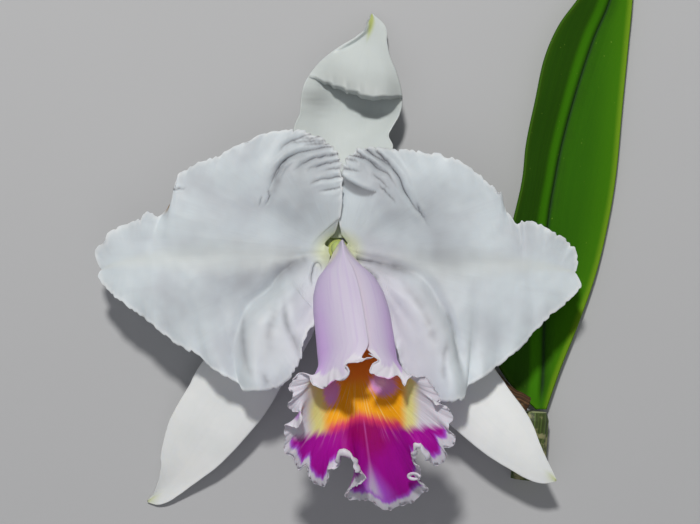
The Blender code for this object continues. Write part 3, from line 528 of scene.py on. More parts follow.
rightPetal = {
    "node": "petal_right", "innerSide": -1, "phase": 0.6, "seed": 31, "mirror": 1,
    "upper": [
        (2.9, 1.8, 25.5), (3.6, 3.0, 25.0), (3.0, 4.3, 24.7), (1.4, 4.9, 24.7), (0.9, 6.8, 25.7),
        (0.4, 10, 27), (0.5, 20, 28.6), (1.8, 28, 28.8),
        (5.5, 33, 27.5), (11, 34, 26), (17.5, 33.5, 25.5), (28.5, 32.5, 27), (36.5, 31, 27.5),
        (45.5, 26, 28), (51, 20.5, 27.2), (53.5, 20, 27), (55.5, 13.5, 26.5), (59.5, 9, 25.5),
        (61.5, 10, 27), (65.5, 9, 26.5), (75, 3.5, 25.5), (79.5, -1.5, 24.5), (79, -7.5, 24)],
    "rib": [
        (2.9, 0, 25.5), (5.2, -0.7, 24.9), (12.5, -2.5, 24.5), (24, -4, 26.5), (37, -4.5, 28),
        (50, -4.5, 28), (63.5, -5, 26.5), (72, -6, 25.3), (79, -7.5, 24)],
    "lower": [
        (2.9, -1.6, 25.5), (9.5, -7.5, 25), (14, -15.5, 27), (17, -25, 28), (19.5, -33.5, 29),
        (22.5, -42, 30), (28.5, -47.5, 31), (35, -49.5, 31), (41, -48.8, 30.2), (42.4, -45.4, 29),
        (44.4, -43.5, 28.5), (47, -42, 28.5), (52.5, -38.5, 28), (61, -31.5, 27), (69, -23, 26),
        (77, -16.5, 25), (80.5, -12, 24.5), (79, -7.5, 24)],
    "pleat": [(6.4, -2.8), (17.8, -5.4), (27.6, -9.5), (33, -17.5), (38, -27), (40.5, -37), (42.5, -46)],
    "swells": [(20, 4, 15, 12, -2.6), (16, 20, 12, 10, 2.2), (32, -10, 14, 9, -2.6), (42, -47, 14, 10, 3.2)],
    "shades": [(13, 29, 10, 7, 0.3), (24, 11, 12, 8, 0.24), (34, -1, 12, 9, 0.3), (16.5, -6.6, 9, 2.4, 0.3),
               (38, -14, 10, 8, 0.15), (37, 18, 11, 8, 0.2), (50, -26, 10, 8, 0.12)],
    "torn": [(53.2, 20.2, 2.6, 1.1), (56.5, 13, 3.5, 0.6), (43, 27.5, 4, 0.35)],
    "lights": [(27, -31, 8, 13, 0.4)],
    "grooves": [
        (0.90, 0.60, [(1.2, 31.6), (5.5, 31.2), (9.6, 29.6), (13, 27), (16.2, 25.3), (18.3, 22.5),
                      (20.4, 19.2)]),
        (1.25, 0.70, [(9.2, 33.6), (12, 31.3), (15, 29.6), (17.5, 27.2), (20.1, 24.2), (21.8, 20),
                      (23.8, 16.6), (26.4, 13.2), (31.2, 6.6)]),
        (0.70, 0.80, [(12.6, 32.8), (15.8, 29.8), (18.2, 27), (20, 25)]),
        (0.45, 0.45, [(5.8, 33.2), (8.4, 30.8), (12, 28.8), (14.8, 26.9)]),
        (0.40, 0.50, [(1.0, 29.9), (5, 29.6), (8, 28.6)]),
        (0.55, 0.55, [(1.0, 26.8), (4.5, 26.4), (8.5, 25.6)]),
        (0.30, 0.45, [(11.5, 25), (14.5, 22.5), (17.5, 19.5)]),
        (0.25, 0.50, [(13.5, 21.5), (17, 18), (19.5, 15)]),
        (0.35, 0.35, [(26.2, 15.2), (27.4, 12.2), (29.6, 9.4)]),
        (1.20, 1.05, [(5.8, -3.2), (11.5, -4.0), (17.8, -5.6), (24, -7.6), (27.5, -10.5)]),
        (0.50, 0.90, [(8.5, -5.6), (11.2, -8), (13.4, -11.5), (15, -15.5)]),
        (0.30, 1.60, [(21, -10), (27, -18), (31, -27), (33, -36)]),
        (0.75, 0.90, [(34.6, -18), (37.6, -25), (38.8, -33), (40.2, -40), (42.2, -45.6)]),
        (0.30, 1.00, [(36, -30), (34.5, -38), (35.5, -46)])],
    "flap": [(0.9, 25.6), (2.4, 23.6), (5.2, 22.0), (8.6, 20.4), (12.8, 19.2)], "bruise": None,
}


def pressPleat(grid, line, innerSide):
    # a soft valley along the line and a swelling beside it, next to the lip
    form = petalForm

    def profile(distance, share):
        swell = hump(distance * innerSide - form["lobeWide"], form["lobeWide"])
        valley = form["pleatDeep"] * (1 - 0.5 * share) * hump(distance, form["pleatWide"])
        return smoothStep(0, 0.3, share) * (form["lobeLift"] * swell - valley)
    grid[:, :, 2] += foldAlong(grid, line, profile, 40)


def pressFlap(grid, crease, line):
    # one flap of the blade lies over the next one and shades it, and a painted shadow darkens the crescent
    # below its edge
    def step(distance, share):
        fade = np.clip(np.sin(np.pi * np.clip(share, 0, 1) ** 0.8), 0, 1) ** 0.7
        over = np.where(distance > 0, np.exp(-distance / 5.0), 0) * 1.2
        under = np.where(distance <= 0, np.exp(distance / 6.0), 0) * -2.0
        return fade * (over * np.tanh(np.abs(distance) / 0.4) + under * np.tanh(np.abs(distance) / 2.4))

    def shadow(distance, share):
        full = np.sin(np.pi * np.clip(share, 0, 1)) ** 0.6
        return (0.62 * smoothStep(-3.6, -2.4, distance / np.maximum(full, 0.1))
                * smoothStep(0.2, -0.1, distance))
    grid[:, :, 2] += foldAlong(grid, line, step, 40)
    np.maximum(crease, foldAlong(grid, line, shadow, 5), out=crease)


def makePetal(petal):
    form = petalForm
    along = np.concatenate([np.linspace(0, form["denseTo"], form["clawRows"], endpoint=False),
                            np.linspace(form["denseTo"], form["endShare"], form["farRows"] + 1)])
    across = np.concatenate([-np.linspace(1, 0, form["columnsUpper"], endpoint=False) ** 0.9,
                             np.linspace(0, 1, form["columnsLower"] + 1) ** 0.9])
    grid = bladeGrid(petal["upper"], petal["rib"], petal["lower"], along, across, form["fold"])
    u, v = along[:, None], across[None, :]
    x, y, z = (grid[:, :, k] for k in range(3))
    pressPleat(grid, petal["pleat"], petal["innerSide"])
    wave = np.sin(2 * math.pi * (u * form["waves"] + petal["phase"]) + v * 1.3)
    z += form["wave"] * np.abs(v) ** 3 * wave * smoothStep(0.2, 0.4, u) * smoothStep(0, 0.08, 1 - u)
    pucker = form["pucker"] * np.sin(v * form["puckerTurns"] + u * 5) * smoothStep(0.15, 0.5, np.abs(v))
    z += pucker * smoothStep(0.10, 0.22, u) * smoothStep(0, 0.2, 0.5 - u)
    z -= form["ribGroove"] * hump(v, form["ribShare"]) * np.sin(math.pi * u) * smoothStep(0, 0.7, 0.9 - u)
    # a dish on the rib and a bank towards the other petal, then the unevenness of soft tissue
    z += mounds(x, y, petal["swells"])
    for key, more in (("swell", 5), ("dimple", 6)):
        size = form[key + "Mm"]
        z += smoothStep(0.05, 0.25, u) * form[key] * softNoise(x / size, y / size, petal["seed"] + more)
    crease = np.zeros(grid.shape[:2])
    for depth, width, line in petal["grooves"]:
        pressGroove(grid, crease, line, depth, width)
    # painted shade in the hollows, with the same unevenness as the folds
    hollowShade = mounds(x, y, petal["shades"]) * (1 + 0.18 * softNoise(x / 3.0, y / 5.0, petal["seed"] + 8))
    crease[:] = 1 - (1 - crease) * (1 - np.clip(hollowShade, 0, 0.6))
    # painted light on the lobes beside the lip
    bright = mounds(x, y, petal["lights"])
    if "flap" in petal:
        pressFlap(grid, crease, petal["flap"])
    # lines from the claw: veins in low relief, and the coordinates that the material draws them by
    clawX, clawY = petal["mirror"] * 1.5, -0.5
    turn = np.arctan2(y - clawY, (x - clawX) * petal["mirror"])
    radius = np.hypot(x - clawX, y - clawY)
    relief = form["veinRelief"] * smoothStep(4, 14, radius)
    z += relief * softNoise(turn * 26, radius / 45, petal["seed"] + 7)
    ruffleEdges(grid, form["teeth"], form["ruffle"], petal["seed"], petal["torn"])
    edge = np.minimum(*edgeDistances(grid))
    lipNear = smoothStep(34, 8, np.hypot(x - 7, (y + 30) * 0.75))
    # the values called fold carry the painted shade and the painted light
    values = {"blade": triples(u, v, edge), "fan": triples(turn, radius, lipNear),
              "fold": triples(crease, bright, crease)}
    tissue = petalTissue(petal["bruise"])
    piece = thickSheet(petal["node"] + "_blade", grid, thinned(form, edge, 7), [tissue], values)
    place(piece, petal["node"])


for petal in (leftPetal, rightPetal):
    makePetal(petal)
print("petals made")

# Sepals

# sepals are firmer than petals: a matt, slightly greenish white, yellow-green at claw and tip
sepalFinish = {
    # the upper sepal's white is painted darker, as shade, and the lower sepals' lighter, as light: one
    # tissue in a shaded and a lit copy
    "upperWhite": "#d0d7d7", "upperShade": "#c4cbca", "lowerWhite": "#f5f7f7", "lowerShade": "#e2e7e8",
    "green": "#bfc878", "tip": "#b4bf62", "crease": "#6c6d6c", "cellMm": 0.5,
    "surface": {"Roughness": 0.45, "IOR": 1.39, "Subsurface Weight": 0.3,
                "Subsurface Radius": (1.0, 0.9, 0.75), "Subsurface Scale": 1.3 * metresPerMm},
}


def sepalTissue(tip, which):
    finish = sepalFinish
    material, tree = startMaterial("sepalTissue", finish["surface"])
    blade, along, across, _ = readValues(tree, "blade")
    crease = readValues(tree, "fold")[1]
    here = addNode(tree, "TexCoord").outputs["Object"]
    # long veins from claw to tip
    veins = streaksAlong(tree, blade, 2.0, 13.0, 3.0, 0.6)
    cloud = addNode(tree, "TexNoise", here, 60.0, 3.0)
    cells = addNode(tree, "TexNoise", here, perMetre(finish["cellMm"]), 1.0)
    # the green of the tip runs up the middle
    offMiddle = addNode(tree, "Math", across, tip["side"], operation="SUBTRACT")
    offMiddle = addNode(tree, "Math", offMiddle, **unsigned)
    reach = addNode(tree, "Math", offMiddle, -tip["narrowing"], along, **timesPlus)
    layers = [
        (which + "Shade", (cloud, 0.35, 0.7, 0, 0.5)),
        (which + "Shade", (veins, 0.5, 0.7, 0, 0.12)),
        ("green", (along, 0.2, 0, 0, 0.3)),
        ("tip", (reach, tip["from"], tip["to"], 0, 0.9)),
        # painted shade under the upper sepal's buckle
        ("crease", crease)]
    return finishMaterial(material, finish, which + "White", layers, (cells, 0.12, 0.06), (veins, 0.15, 0.3))


sepalForm = {
    "thick": 0.85, "thinEdge": 0.4, "endShare": 0.996,
    "swell": 0.25, "swellMm": 11.0, "wave": 0.8, "waves": 9,
    "edgeTeeth": {"from": (0.05, 0.2), "long": 6.0, "deep": 0.12, "short": 1.5, "fine": 0.04, "reach": 1.5},
    "edgeRuffle": {"long": 9.0, "high": 0.25, "short": 4.0, "small": 0.08, "reach": 2.5},
}

# rows are crowded where the upper sepal buckles: where each stretch of them starts, and their count
upperSepal = {
    "node": "sepal_dorsal", "rows": [(0, 120), (0.58, 130), (0.74, 91)], "columns": 90, "fold": 0.0,
    "seed": 51,
    "tip": {"from": 0.80, "to": 0.92, "narrowing": 0.24, "side": 0.06},
    "left": [
        (-2.5, clawReach, 19.5), (-5.5, 11.5, 19), (-10, 21.5, 18.5), (-13.5, 32, 18), (-15, 40, 17.5),
        (-13, 46, 17), (-12.5, 51, 17), (-11.5, 55.5, 17), (-9.5, 59.5, 16), (-6, 63.5, 14.5),
        (-1, 67.5, 12), (4.5, 71, 9), (9, 75, 6), (10, 78, 3.5), (11.5, 81.5, 0.8)],
    "rib": [
        (0, clawReach, 19.5), (0, 16.5, 19.5), (0.5, 28.5, 17.5), (1.5, 38.5, 14.5), (2.5, 46.5, 13.5),
        (4, 52, 15), (6, 59, 16), (8.5, 67.5, 12), (10.3, 75, 6), (11.5, 81.5, 0.8)],
    "right": [
        (2.5, clawReach, 19.5), (6, 11.5, 20), (11.5, 22, 20), (16, 30, 19), (18.5, 34.5, 18),
        (17, 38.5, 17), (18, 41, 16.5), (20.5, 45.5, 16), (21.5, 50, 16.5), (21, 54.5, 16.5),
        (19.5, 60, 14), (17.5, 65.5, 11), (16.5, 71, 8), (16, 76.5, 4.5), (11.5, 81.5, 0.8)],
}
leftSepal = {
    "node": "sepal_left", "rows": [(0, 151)], "columns": 46, "fold": 0.15, "seed": 61,
    "dip": (-34, -46, 16, 10, 1.6),
    "tip": {"from": 0.92, "to": 1.02, "narrowing": 0.03, "side": 0.0},
    "left": [
        (-clawReach, -1.2, 19), (-13, -4, 19.5), (-26, -13.5, 19), (-36.5, -26.5, 18), (-46, -38, 16),
        (-51.5, -47.5, 13.5), (-57.5, -58, 10.5), (-60.5, -69, 7.5), (-60.5, -73, 6.5),
        (-61.5, -78, 4.5), (-63.5, -83.5, 2), (-66, -86.5, 0.8)],
    "rib": [
        (-2.9, -2.9, 19), (-14.5, -18.5, 20.5), (-25.5, -33.5, 19), (-34.5, -47, 15.8),
        (-44, -60.5, 11.5), (-52, -72.5, 7), (-59, -81.5, 2.8), (-66, -86.5, 0.8)],
    "right": [
        (-1.2, -clawReach, 19), (-4.5, -16.5, 19), (-9.5, -30, 18), (-19, -45.5, 16.5),
        (-23.5, -53.5, 15), (-31.5, -63.5, 12.5), (-40.5, -73, 9), (-47, -78, 6.5), (-53.5, -83, 4),
        (-58, -86, 2.5), (-62, -87.3, 1.3), (-66, -86.5, 0.8)],
}
rightSepal = {
    "node": "sepal_right", "rows": [(0, 151)], "columns": 46, "fold": 0.15, "seed": 71,
    "dip": (48, -45, 14, 10, 2.0),
    "tip": {"from": 0.93, "to": 1.01, "narrowing": 0.03, "side": 0.0},
    "left": [
        (1.2, -clawReach, 19), (8, -20, 19), (19, -37, 19), (30.5, -52, 19), (37, -58, 19),
        (49, -68, 18), (61, -75.5, 17.3), (68, -78.2, 17), (73.5, -77.5, 17.3)],
    "rib": [
        (2.9, -2.9, 19), (15.5, -16.5, 20.5), (29, -31.5, 20.8), (41.5, -46, 20.3),
        (52.5, -58.5, 19.3), (62.5, -68, 18.3), (73.5, -77.5, 17.3)],
    "right": [
        (clawReach, -1.2, 19), (20.5, -11.5, 19), (37.5, -25, 19.5), (47.5, -33.5, 19),
        (53, -40.5, 18.7), (58, -47.5, 18.5), (64.5, -57, 18), (69, -68, 17.8), (73.5, -77.5, 17.3)],
}
# the ridge runs from left to right; the numbers with each of its points are how far it stands out
# over the blade there, and how far the blade below it is pressed in
buckle = {
    "ridge": [(-11.5, 58.6), (-8.9, 57.5), (-4, 56), (0.6, 54.7), (5, 52.7), (8, 52.1), (14, 51.5),
              (20.4, 51.2), (23, 51)],
    "rise": [(0, 0), (0.08, 0.5), (0.35, 4.5), (0.6, 8.0), (0.8, 7.5), (0.93, 2.6), (1, 0.5)],
    "drop": [(0, 0), (0.08, 0.3), (0.35, 4.2), (0.6, 8.4), (0.74, 8.2), (0.84, 4.4), (0.92, 1.2), (1, 0)],
    "crestWide": 9.0, "wallWide": 0.8, "under": 9.5, "raised": 0.4, "slant": 0.96, "seed": 57,
    "lumps": 0.55, "lumpMm": 1.5, "lumpReach": 2.6, "wrinkle": 0.12,
    "overhang": 1.7, "fullRise": 8.0, "pullBelow": 3.0, "pullAbove": 3.5,
    "shade": (-8.0, 50.5, 6.5, 5.5, 0.36), "crestShade": 0.28, "crookShade": 0.2,
    "rollAt": (0.72, 0.84), "rimWide": 1.0, "rimHigh": 1.9, "rimBank": 1.8,
}


def pressBuckle(grid, crease):
    # half way up, the upper sepal overhangs itself along a slanting, slightly lumpy ridge
    x, y = grid[:, :, 0].copy(), grid[:, :, 1].copy()
    ridgeX, ridgeY = np.array(buckle["ridge"]).T
    ridge = np.polyval(np.polyfit(ridgeX, ridgeY, 4), x) + buckle["raised"]
    share = np.clip((x - ridgeX[0]) / (ridgeX[-1] - ridgeX[0]), 0, 1)
    bell = np.sin(np.pi * share)
    distance = (y - ridge) * buckle["slant"]
    lumpy = buckle["lumps"] * bell * softNoise(x / buckle["lumpMm"], 3.0, buckle["seed"])
    distance += lumpy * hump(distance, buckle["lumpReach"])
    rise, drop = (evenedSizes(buckle[key], share) for key in ("rise", "drop"))
    crest = rise * np.exp(-np.maximum(distance, 0) / buckle["crestWide"])
    pressed = drop * hump(np.minimum(distance, 0), buckle["under"])
    wall = smoothStep(-buckle["wallWide"], buckle["wallWide"], distance)
    pull = np.where(distance < 0, hump(distance, buckle["pullBelow"]),
                    -0.7 * hump(distance, buckle["pullAbove"])) * buckle["overhang"]
    grid[:, :, 2] += crest * wall - pressed * (1 - wall)
    grid[:, :, 1] += pull * rise / buckle["fullRise"]
    # painted shade in the crook, on the crest's brow, and where the blade is finely wrinkled at its left
    atX, atY, wide, long, amount = buckle["shade"]
    wrinkles = 1 + 0.3 * softNoise(x / 5.0, y / 1.1, buckle["seed"] + 1)
    leftShade = amount * wrinkles * np.exp(-((x - atX) / wide) ** 2 - ((y - atY) / long) ** 2) * (1 - wall)
    browShade = buckle["crestShade"] * smoothStep(0, 4, rise) * hump(distance - 1.5, 5.0)
    crookShadow = buckle["crookShade"] * smoothStep(0, 3, rise) * hump(distance + 0.6, 0.8)
    np.maximum(crease, np.maximum(leftShade, browShade + crookShadow), out=crease)
    near = hump(np.hypot((x - atX) / wide, (y - atY) / long), 1.2)
    grid[:, :, 2] += buckle["wrinkle"] * softNoise(x / 6.0, y / 0.9, buckle["seed"] + 2) * near


def evenedSizes(stations, share):
    # the sizes read along the ridge without corners at the stations
    near = [sizeAlong(stations, np.clip(share + step, 0, 1)) for step in (-0.06, -0.03, 0, 0.03, 0.06)]
    return (near[0] + 2 * near[1] + 3 * near[2] + 2 * near[3] + near[4]) / 9


def rollEdge(grid, along):
    # the left edge towards the tip stands up towards the eye as a rounded rim
    fromLeft = edgeDistances(grid)[0]
    fade = (smoothStep(*buckle["rollAt"], along) * smoothStep(0, 0.1, 1.0 - along))[:, None]
    grid[:, :, 2] += fade * (buckle["rimBank"] * hump(fromLeft, 3.2)
                             + buckle["rimHigh"] * hump(np.maximum(fromLeft - 0.5, 0), buckle["rimWide"]))


def makeSepal(sepal):
    form = sepalForm
    isUpper = sepal is upperSepal
    starts, counts = zip(*sepal["rows"])
    ends = (*starts[1:], form["endShare"])
    along = np.concatenate([np.linspace(start, end, count, endpoint=end == form["endShare"])
                            for start, end, count in zip(starts, ends, counts)])
    across = np.linspace(-1, 1, sepal["columns"] + 1)
    grid = bladeGrid(sepal["left"], sepal["rib"], sepal["right"], along, across, sepal["fold"])
    u, v = along[:, None], across[None, :]
    x, y, z = (grid[:, :, k] for k in range(3))
    if not isUpper:
        z += form["wave"] * v ** 2 * np.sin(math.pi * u) * np.sin(u * form["waves"])
    z += (form["swell"] * softNoise(x / form["swellMm"], y / form["swellMm"], sepal["seed"])
          * smoothStep(0.05, 0.2, u) * smoothStep(0, 0.15, 1 - u))
    ruffleEdges(grid, form["edgeTeeth"], form["edgeRuffle"], sepal["seed"])
    edge = np.minimum(*edgeDistances(grid))
    crease = np.zeros(grid.shape[:2])
    if isUpper:
        pressBuckle(grid, crease)
        rollEdge(grid, along)
    else:
        # a hollow below the petal's edge, which throws its shadow there
        z -= mounds(x, y, [sepal["dip"]])
    # the values called fold carry the painted shade
    values = {"blade": triples(u, v, edge), "fold": triples(crease, crease, crease)}
    # the upper sepal gets the shaded copy of the white, the lower ones the lit copy
    tissue = sepalTissue(sepal["tip"], "upper" if isUpper else "lower")
    piece = thickSheet(sepal["node"] + "_blade", grid, thinned(form, edge, 5), [tissue], values)
    place(piece, sepal["node"])


for sepal in (upperSepal, leftSepal, rightSepal):
    makeSepal(sepal)
print("sepals made")

# Lip

# the lip is the thickest and most brightly coloured tissue of the bloom: satin, with colour in the
# sap, so the eye sees clear yellow, magenta and violet that soften into a nearly white frill
lipFinish = {
    "fan": "#ffae12", "ray": "#ffd88c", "throat": "#ff9434", "ember": "#e0406a",
    "side": "#e6dd90", "pale": "#dcd8e4", "magenta": "#a00068", "violet": "#ac049e", "streak": "#d070c0",
    "halo": "#b860e2", "wall": "#e29ce2", "sheen": "#ffd0f6", "line": "#d060c0",
    "tube": "#c9b9dc", "flank": "#d6aff0", "hood": "#d0c8dd", "vein": "#bda4d6", "cream": "#e6e1ca",
    "back": "#a244a8",
    "cellMm": 0.4,   # cells are 0.05 mm; drawn coarser so that they show
    "inside": {"Roughness": 0.6, "IOR": 1.37, "Specular IOR Level": 0.3, "Subsurface Weight": 0.25,
               "Subsurface Radius": (1.0, 0.6, 0.6), "Subsurface Scale": 1.2 * metresPerMm},
    "outside": {"Roughness": 0.5, "IOR": 1.37, "Subsurface Weight": 0.25,
                "Subsurface Radius": (1.0, 0.7, 0.9), "Subsurface Scale": 1.2 * metresPerMm},
}

lipForm = {
    "columns": (56, 550, 48), "tubeRows": 22, "flareRows": 42, "rollRows": 8, "keelEnd": 0.36,
    "evening": 79, "nearEvening": 9, "dip": 0.35, "thick": 0.62, "thinEdge": 0.34, "lap": 1.3,
    "fluteMm": 2.7, "flute": 0.42, "crimpMm": 1.2, "crimp": 0.3, "toothMm": 0.9, "tooth": 0.42,
    "scallopMm": 1.9, "scallop": 0.45, "rollUnevenMm": 2.4, "rollUneven": 0.45, "rollShare": 0.66,
    "bendLeast": 40, "bendMost": 95, "bendOver": (0.25, 1.1), "rollNarrow": 0.55, "settle": 2.2,
    "curl": {"at": (24.6, -73.2, 43.0), "radii": (1.75, 1.0), "tilt": 0.9, "thick": 0.42, "turns": 0.93,
             "stations": 60, "sides": 12},
    # degrees round the mouth, from its underside
    "rimStart": -193.0, "frillStart": -100.0, "frillEnd": 100.0, "rimEnd": 176.0, "seed": 91,
}

# the tube, from the top of the ovary to its mouth: underside, top and half width
tubeFloor = [
    (0.8, -2.7, hub["top"] + hub["gap"] + 0.45), (1.8, -7, 27.4), (2.7, -14, 30.6), (3.6, -22, 34),
    (4.8, -32, 37.8), (5.8, -43, 40.5)]
tubeRoof = [
    (1.4, 3.2, 31.8), (2.2, -3, 38.5), (3.6, -9, 45), (4.9, -15.5, 50.2), (6, -22, 54.2),
    (7, -28.5, 57.5)]
tubeWidths = [(0, 2.0), (0.1, 4.0), (0.21, 6.6), (0.33, 9.6), (0.46, 11.3), (0.6, 12), (1, 12.3)]

# the margin: x, y, z, and the radius of its roll towards the eye
rimLeft = [
    (11.5, -33.4, 62.2, 0.7), (8, -34.6, 62.6, 0.8), (4.5, -35, 63, 0.8), (2.5, -36, 63, 0.8),
    (3.5, -38.5, 64, 1.0), (2, -40.5, 63, 1.1), (-0.5, -40.5, 61, 1.0), (-2.5, -42.5, 59, 0.8),
    (-5, -44, 58, 0.7), (-7, -42.5, 57.5, 0.8), (-8.5, -40, 57.5, 0.9), (-11, -39, 56, 0.8),
    (-14, -41, 54, 0.5), (-16, -44, 51.5, 0.35)]
frill = [
    (-16, -44, 51.5, 0.35), (-14, -46.5, 54, 0.5), (-16, -50.5, 49, 0.3), (-12.5, -52, 51, 0.7),
    (-11, -54, 54, 0.9), (-13, -57, 53, 0.7), (-17, -56, 49, 0.3), (-17, -60, 45, 0.25),
    (-17, -65.5, 42, 0.25), (-14.5, -67, 42.5, 0.3), (-13, -71, 39.5, 0.25), (-10, -70, 42, 0.5),
    (-9, -74, 39.5, 0.25), (-5, -77, 37, 0.25), (-3, -74, 41, 0.6), (-3, -70, 44, 0.9),
    (0, -69.5, 46, 1.1), (1, -66, 49, 1.5), (3.5, -66, 50, 1.7), (6, -67, 49.5, 1.7),
    (7, -70.5, 48, 1.4), (9, -73.5, 46, 1.0), (5.5, -76.5, 42, 0.5), (2.5, -79.5, 37.5, 0.3),
    (4.5, -81.5, 35, 0.3), (9.5, -82, 33, 0.4), (13.5, -84.5, 31, 0.2), (17, -85, 30, 0.2),
    (21.5, -84, 30, 0.2), (24.5, -82.5, 31, 0.2), (27.5, -80, 33, 0.2), (29.5, -78, 35, 0.25),
    (26.5, -76, 37, 0.6), (27, -72.5, 40, 1.2), (24, -68, 45, 1.0), (24.5, -64, 49, 1.5),
    (27, -63, 50, 1.7), (29, -65, 49, 1.5), (30.5, -69, 45, 0.8), (33.5, -69, 43, 0.25),
    (35, -66.5, 44, 0.25), (34, -63.5, 46.5, 0.5), (36.5, -63.5, 45.5, 0.3), (38, -60.5, 46, 0.3),
    (35, -57, 49, 0.7), (37, -54, 48.5, 0.3), (34.5, -50, 51.5, 0.3), (31, -49.5, 53.5, 0.6),
    (32.5, -47, 51.5, 0.3), (30.5, -44, 53.5, 0.4), (28.5, -40.5, 55, 0.4)]
rimRight = [
    (28.5, -40.5, 55, 0.4), (25.5, -40.5, 57, 0.5), (23.5, -39.5, 57.5, 0.6), (22, -41.5, 58.5, 0.5),
    (21, -43, 59.5, 0.5), (20, -40.5, 58.5, 0.7), (18, -40, 59, 0.8), (16, -40.5, 60, 0.9),
    (13, -39.5, 60.5, 1.0), (10.5, -38.5, 61, 1.0), (11, -36.2, 60.6, 0.9), (12.5, -34.5, 60, 0.7),
    (10, -32.6, 59, 0.5)]

# colour zones, in mm on the lip as it is seen from above
zones = {
    "centre": (5.9, -36.0),
    "border": [(-20, -61), (-11.5, -60.3), (-2.5, -58.7), (2.35, -57.2), (6.5, -55.2), (8.8, -55.4),
               (15.2, -57.1), (23.3, -57.4), (31.7, -56.4), (40, -55.5)],
    "orangeLeft": -4.0, "orangeRight": 21.5, "throatAt": -45.0,
    "lineTurn": 0.13, "flareFrom": 31.0, "sideFrill": 2.2,
    "walls": [(-2.2, -45.5, 3.0, 5.5, 1), (14.8, -43.4, 5.2, 4.4, 1)], "sheen": (14.2, -42.9, 2.3, 1.7, 1),
}


def lipInside():
    finish = lipFinish
    material, tree = startMaterial("lipTissueInside", finish["inside"])
    fan, turn, radius, margin = readValues(tree, "fan")
    _, border, orange, deep = readValues(tree, "zone")
    _, wall, sheen, _ = readValues(tree, "wall")
    here = addNode(tree, "TexCoord").outputs["Object"]
    wide = streaksAlong(tree, fan, 5.0, 0.03, 2.0)
    fine = streaksAlong(tree, fan, 26.0, 0.05, 2.0)
    cloud = addNode(tree, "TexNoise", here, 160.0, 3.0)
    cells = addNode(tree, "TexNoise", here, perMetre(finish["cellMm"]), 1.0)
    # streaks and clouds added to the distances, so that one colour runs out into the next
    uneven = addNode(tree, "Math", cloud, 3.0, orange, **timesPlus)
    shifted = addNode(tree, "Math", wide, 2.0, border, **timesPlus)
    shifted = addNode(tree, "Math", fine, 4.0, shifted, **timesPlus)
    feather = addNode(tree, "Math", fine, 2.6, margin, **timesPlus)
    wallSeen = addNode(tree, "Math", fine, 0.7, wall, **timesPlus)
    # the line of the middle vein opens into a flare where it meets the frill
    offLine = addNode(tree, "Math", turn, zones["lineTurn"], operation="SUBTRACT")
    offLine = addNode(tree, "Math", offLine, **unsigned)
    start = zones["flareFrom"]
    flareWide = addNode(tree, "MapRange", radius, start, start + 14, 0.015, 0.09)
    flare = addNode(tree, "Math", offLine, flareWide, operation="DIVIDE")
    hue = addNode(tree, "Math", cloud, -12.0, border, **timesPlus)
    hue = addNode(tree, "Math", offLine, -30.0, hue, **timesPlus)
    rays = (fine, 0.54, 0.68, 0, 0.7)
    isMagenta = (shifted, 5, 1.4)
    isFar = (radius, start, start + 13, 0, 0.85)
    magenta = paint(tree, finish, "magenta", [
        ("violet", (hue, -10, -24)),
        ("streak", rays, (border, -6, 0, 0, 0.6)),
        ("line", (offLine, 0.022, 0, 0, 0.45))])
    layers = [
        # yellow fan with paler rays, and painted shade that makes it browner down the throat
        ("ray", rays),
        ("throat", (deep, -1, 5)),
        # green-yellow flanks that pale into lilac white
        ("side", (uneven, 3.5, -0.5)),
        ("pale", (uneven, -1, -5.5)),
        # magenta below a border that runs out in streaks, then the flare
        ("ember", (shifted, 7.2, 3.8), (orange, -1, 3)),
        (magenta, isMagenta),
        ("halo", (flare, 2.2, 0.6), isFar),
        ("pale", (flare, 1, 0), isFar),
        # the frill: a violet halo, then nearly white
        ("halo", (feather, 7.1, 4.3), isMagenta),
        ("pale", (feather, 5.4, 3.6)),
        # violet side walls of the throat, streaked, with a painted highlight on the right one
        ("wall", (wallSeen, 0.62, 1.05)),
        ("sheen", sheen)]
    return finishMaterial(material, finish, "fan", layers, (cells, 0.15, 0.06), (fine, 0.45, 0.4))


def lipOutside():
    finish = lipFinish
    material, tree = startMaterial("lipTissueOutside", finish["outside"])
    margin = readValues(tree, "fan")[3]
    tube, turn, share, _ = readValues(tree, "tube")
    here = addNode(tree, "TexCoord").outputs["Object"]
    veins = streaksAlong(tree, tube, 34.0, 1.2)
    cells = addNode(tree, "TexNoise", here, perMetre(finish["cellMm"]), 1.0)
    steep = addNode(tree, "Math", turn, **unsigned)
    offFlank = addNode(tree, "Math", steep, 0.52, operation="SUBTRACT")
    offFlank = addNode(tree, "Math", offFlank, **unsigned)
    feather = addNode(tree, "Math", veins, 2.0, margin, **timesPlus)
    layers = [
        # lavender tube, pinker low on the flanks near the mouth, greyer along the top
        ("flank", (share, 0.35, 1.05), (offFlank, 0.32, 0.05)),
        ("hood", (steep, 0.68, 0.92)),
        ("vein", (veins, 0.5, 0.7, 0, 0.25)),
        # cream on the two edges beside the keel, where the tube begins
        ("cream", (share, 0.3, 0.08, 0, 0.85), (steep, 0.86, 0.66)),
        # magenta shows through behind the front lobe
        ("back", (share, 1.3, 1.6), (steep, 0.5, 0.36)),
        ("pale", (feather, 4.2, 2.6))]
    return finishMaterial(material, finish, "tube", layers, (cells, 0.12, 0.06), (veins, 0.25, 0.3))


def tubeRing(share, turn):
    # points of the tube: share from back to mouth, turn in radians from its underside
    floor = curveThrough(tubeFloor, share)
    roof = curveThrough(tubeRoof, share)
    wide = sizeAlong(tubeWidths, share)[:, None]
    middle, half = (floor + roof) * 0.5, (roof - floor) * 0.5
    ring = middle[:, None, :] - half[:, None, :] * np.cos(turn)[None, :, None]
    # folded to a keel along the top, at the back
    high, side = -np.cos(turn)[None, :], np.sin(turn)[None, :]
    gable = np.where(high > 0, np.sign(side) * (1 - high), side)
    keel = smoothStep(0, lipForm["keelEnd"], lipForm["keelEnd"] - share)[:, None]
    ring[:, :, 0] += wide * (side * (1 - keel) + gable * keel)
    return ring


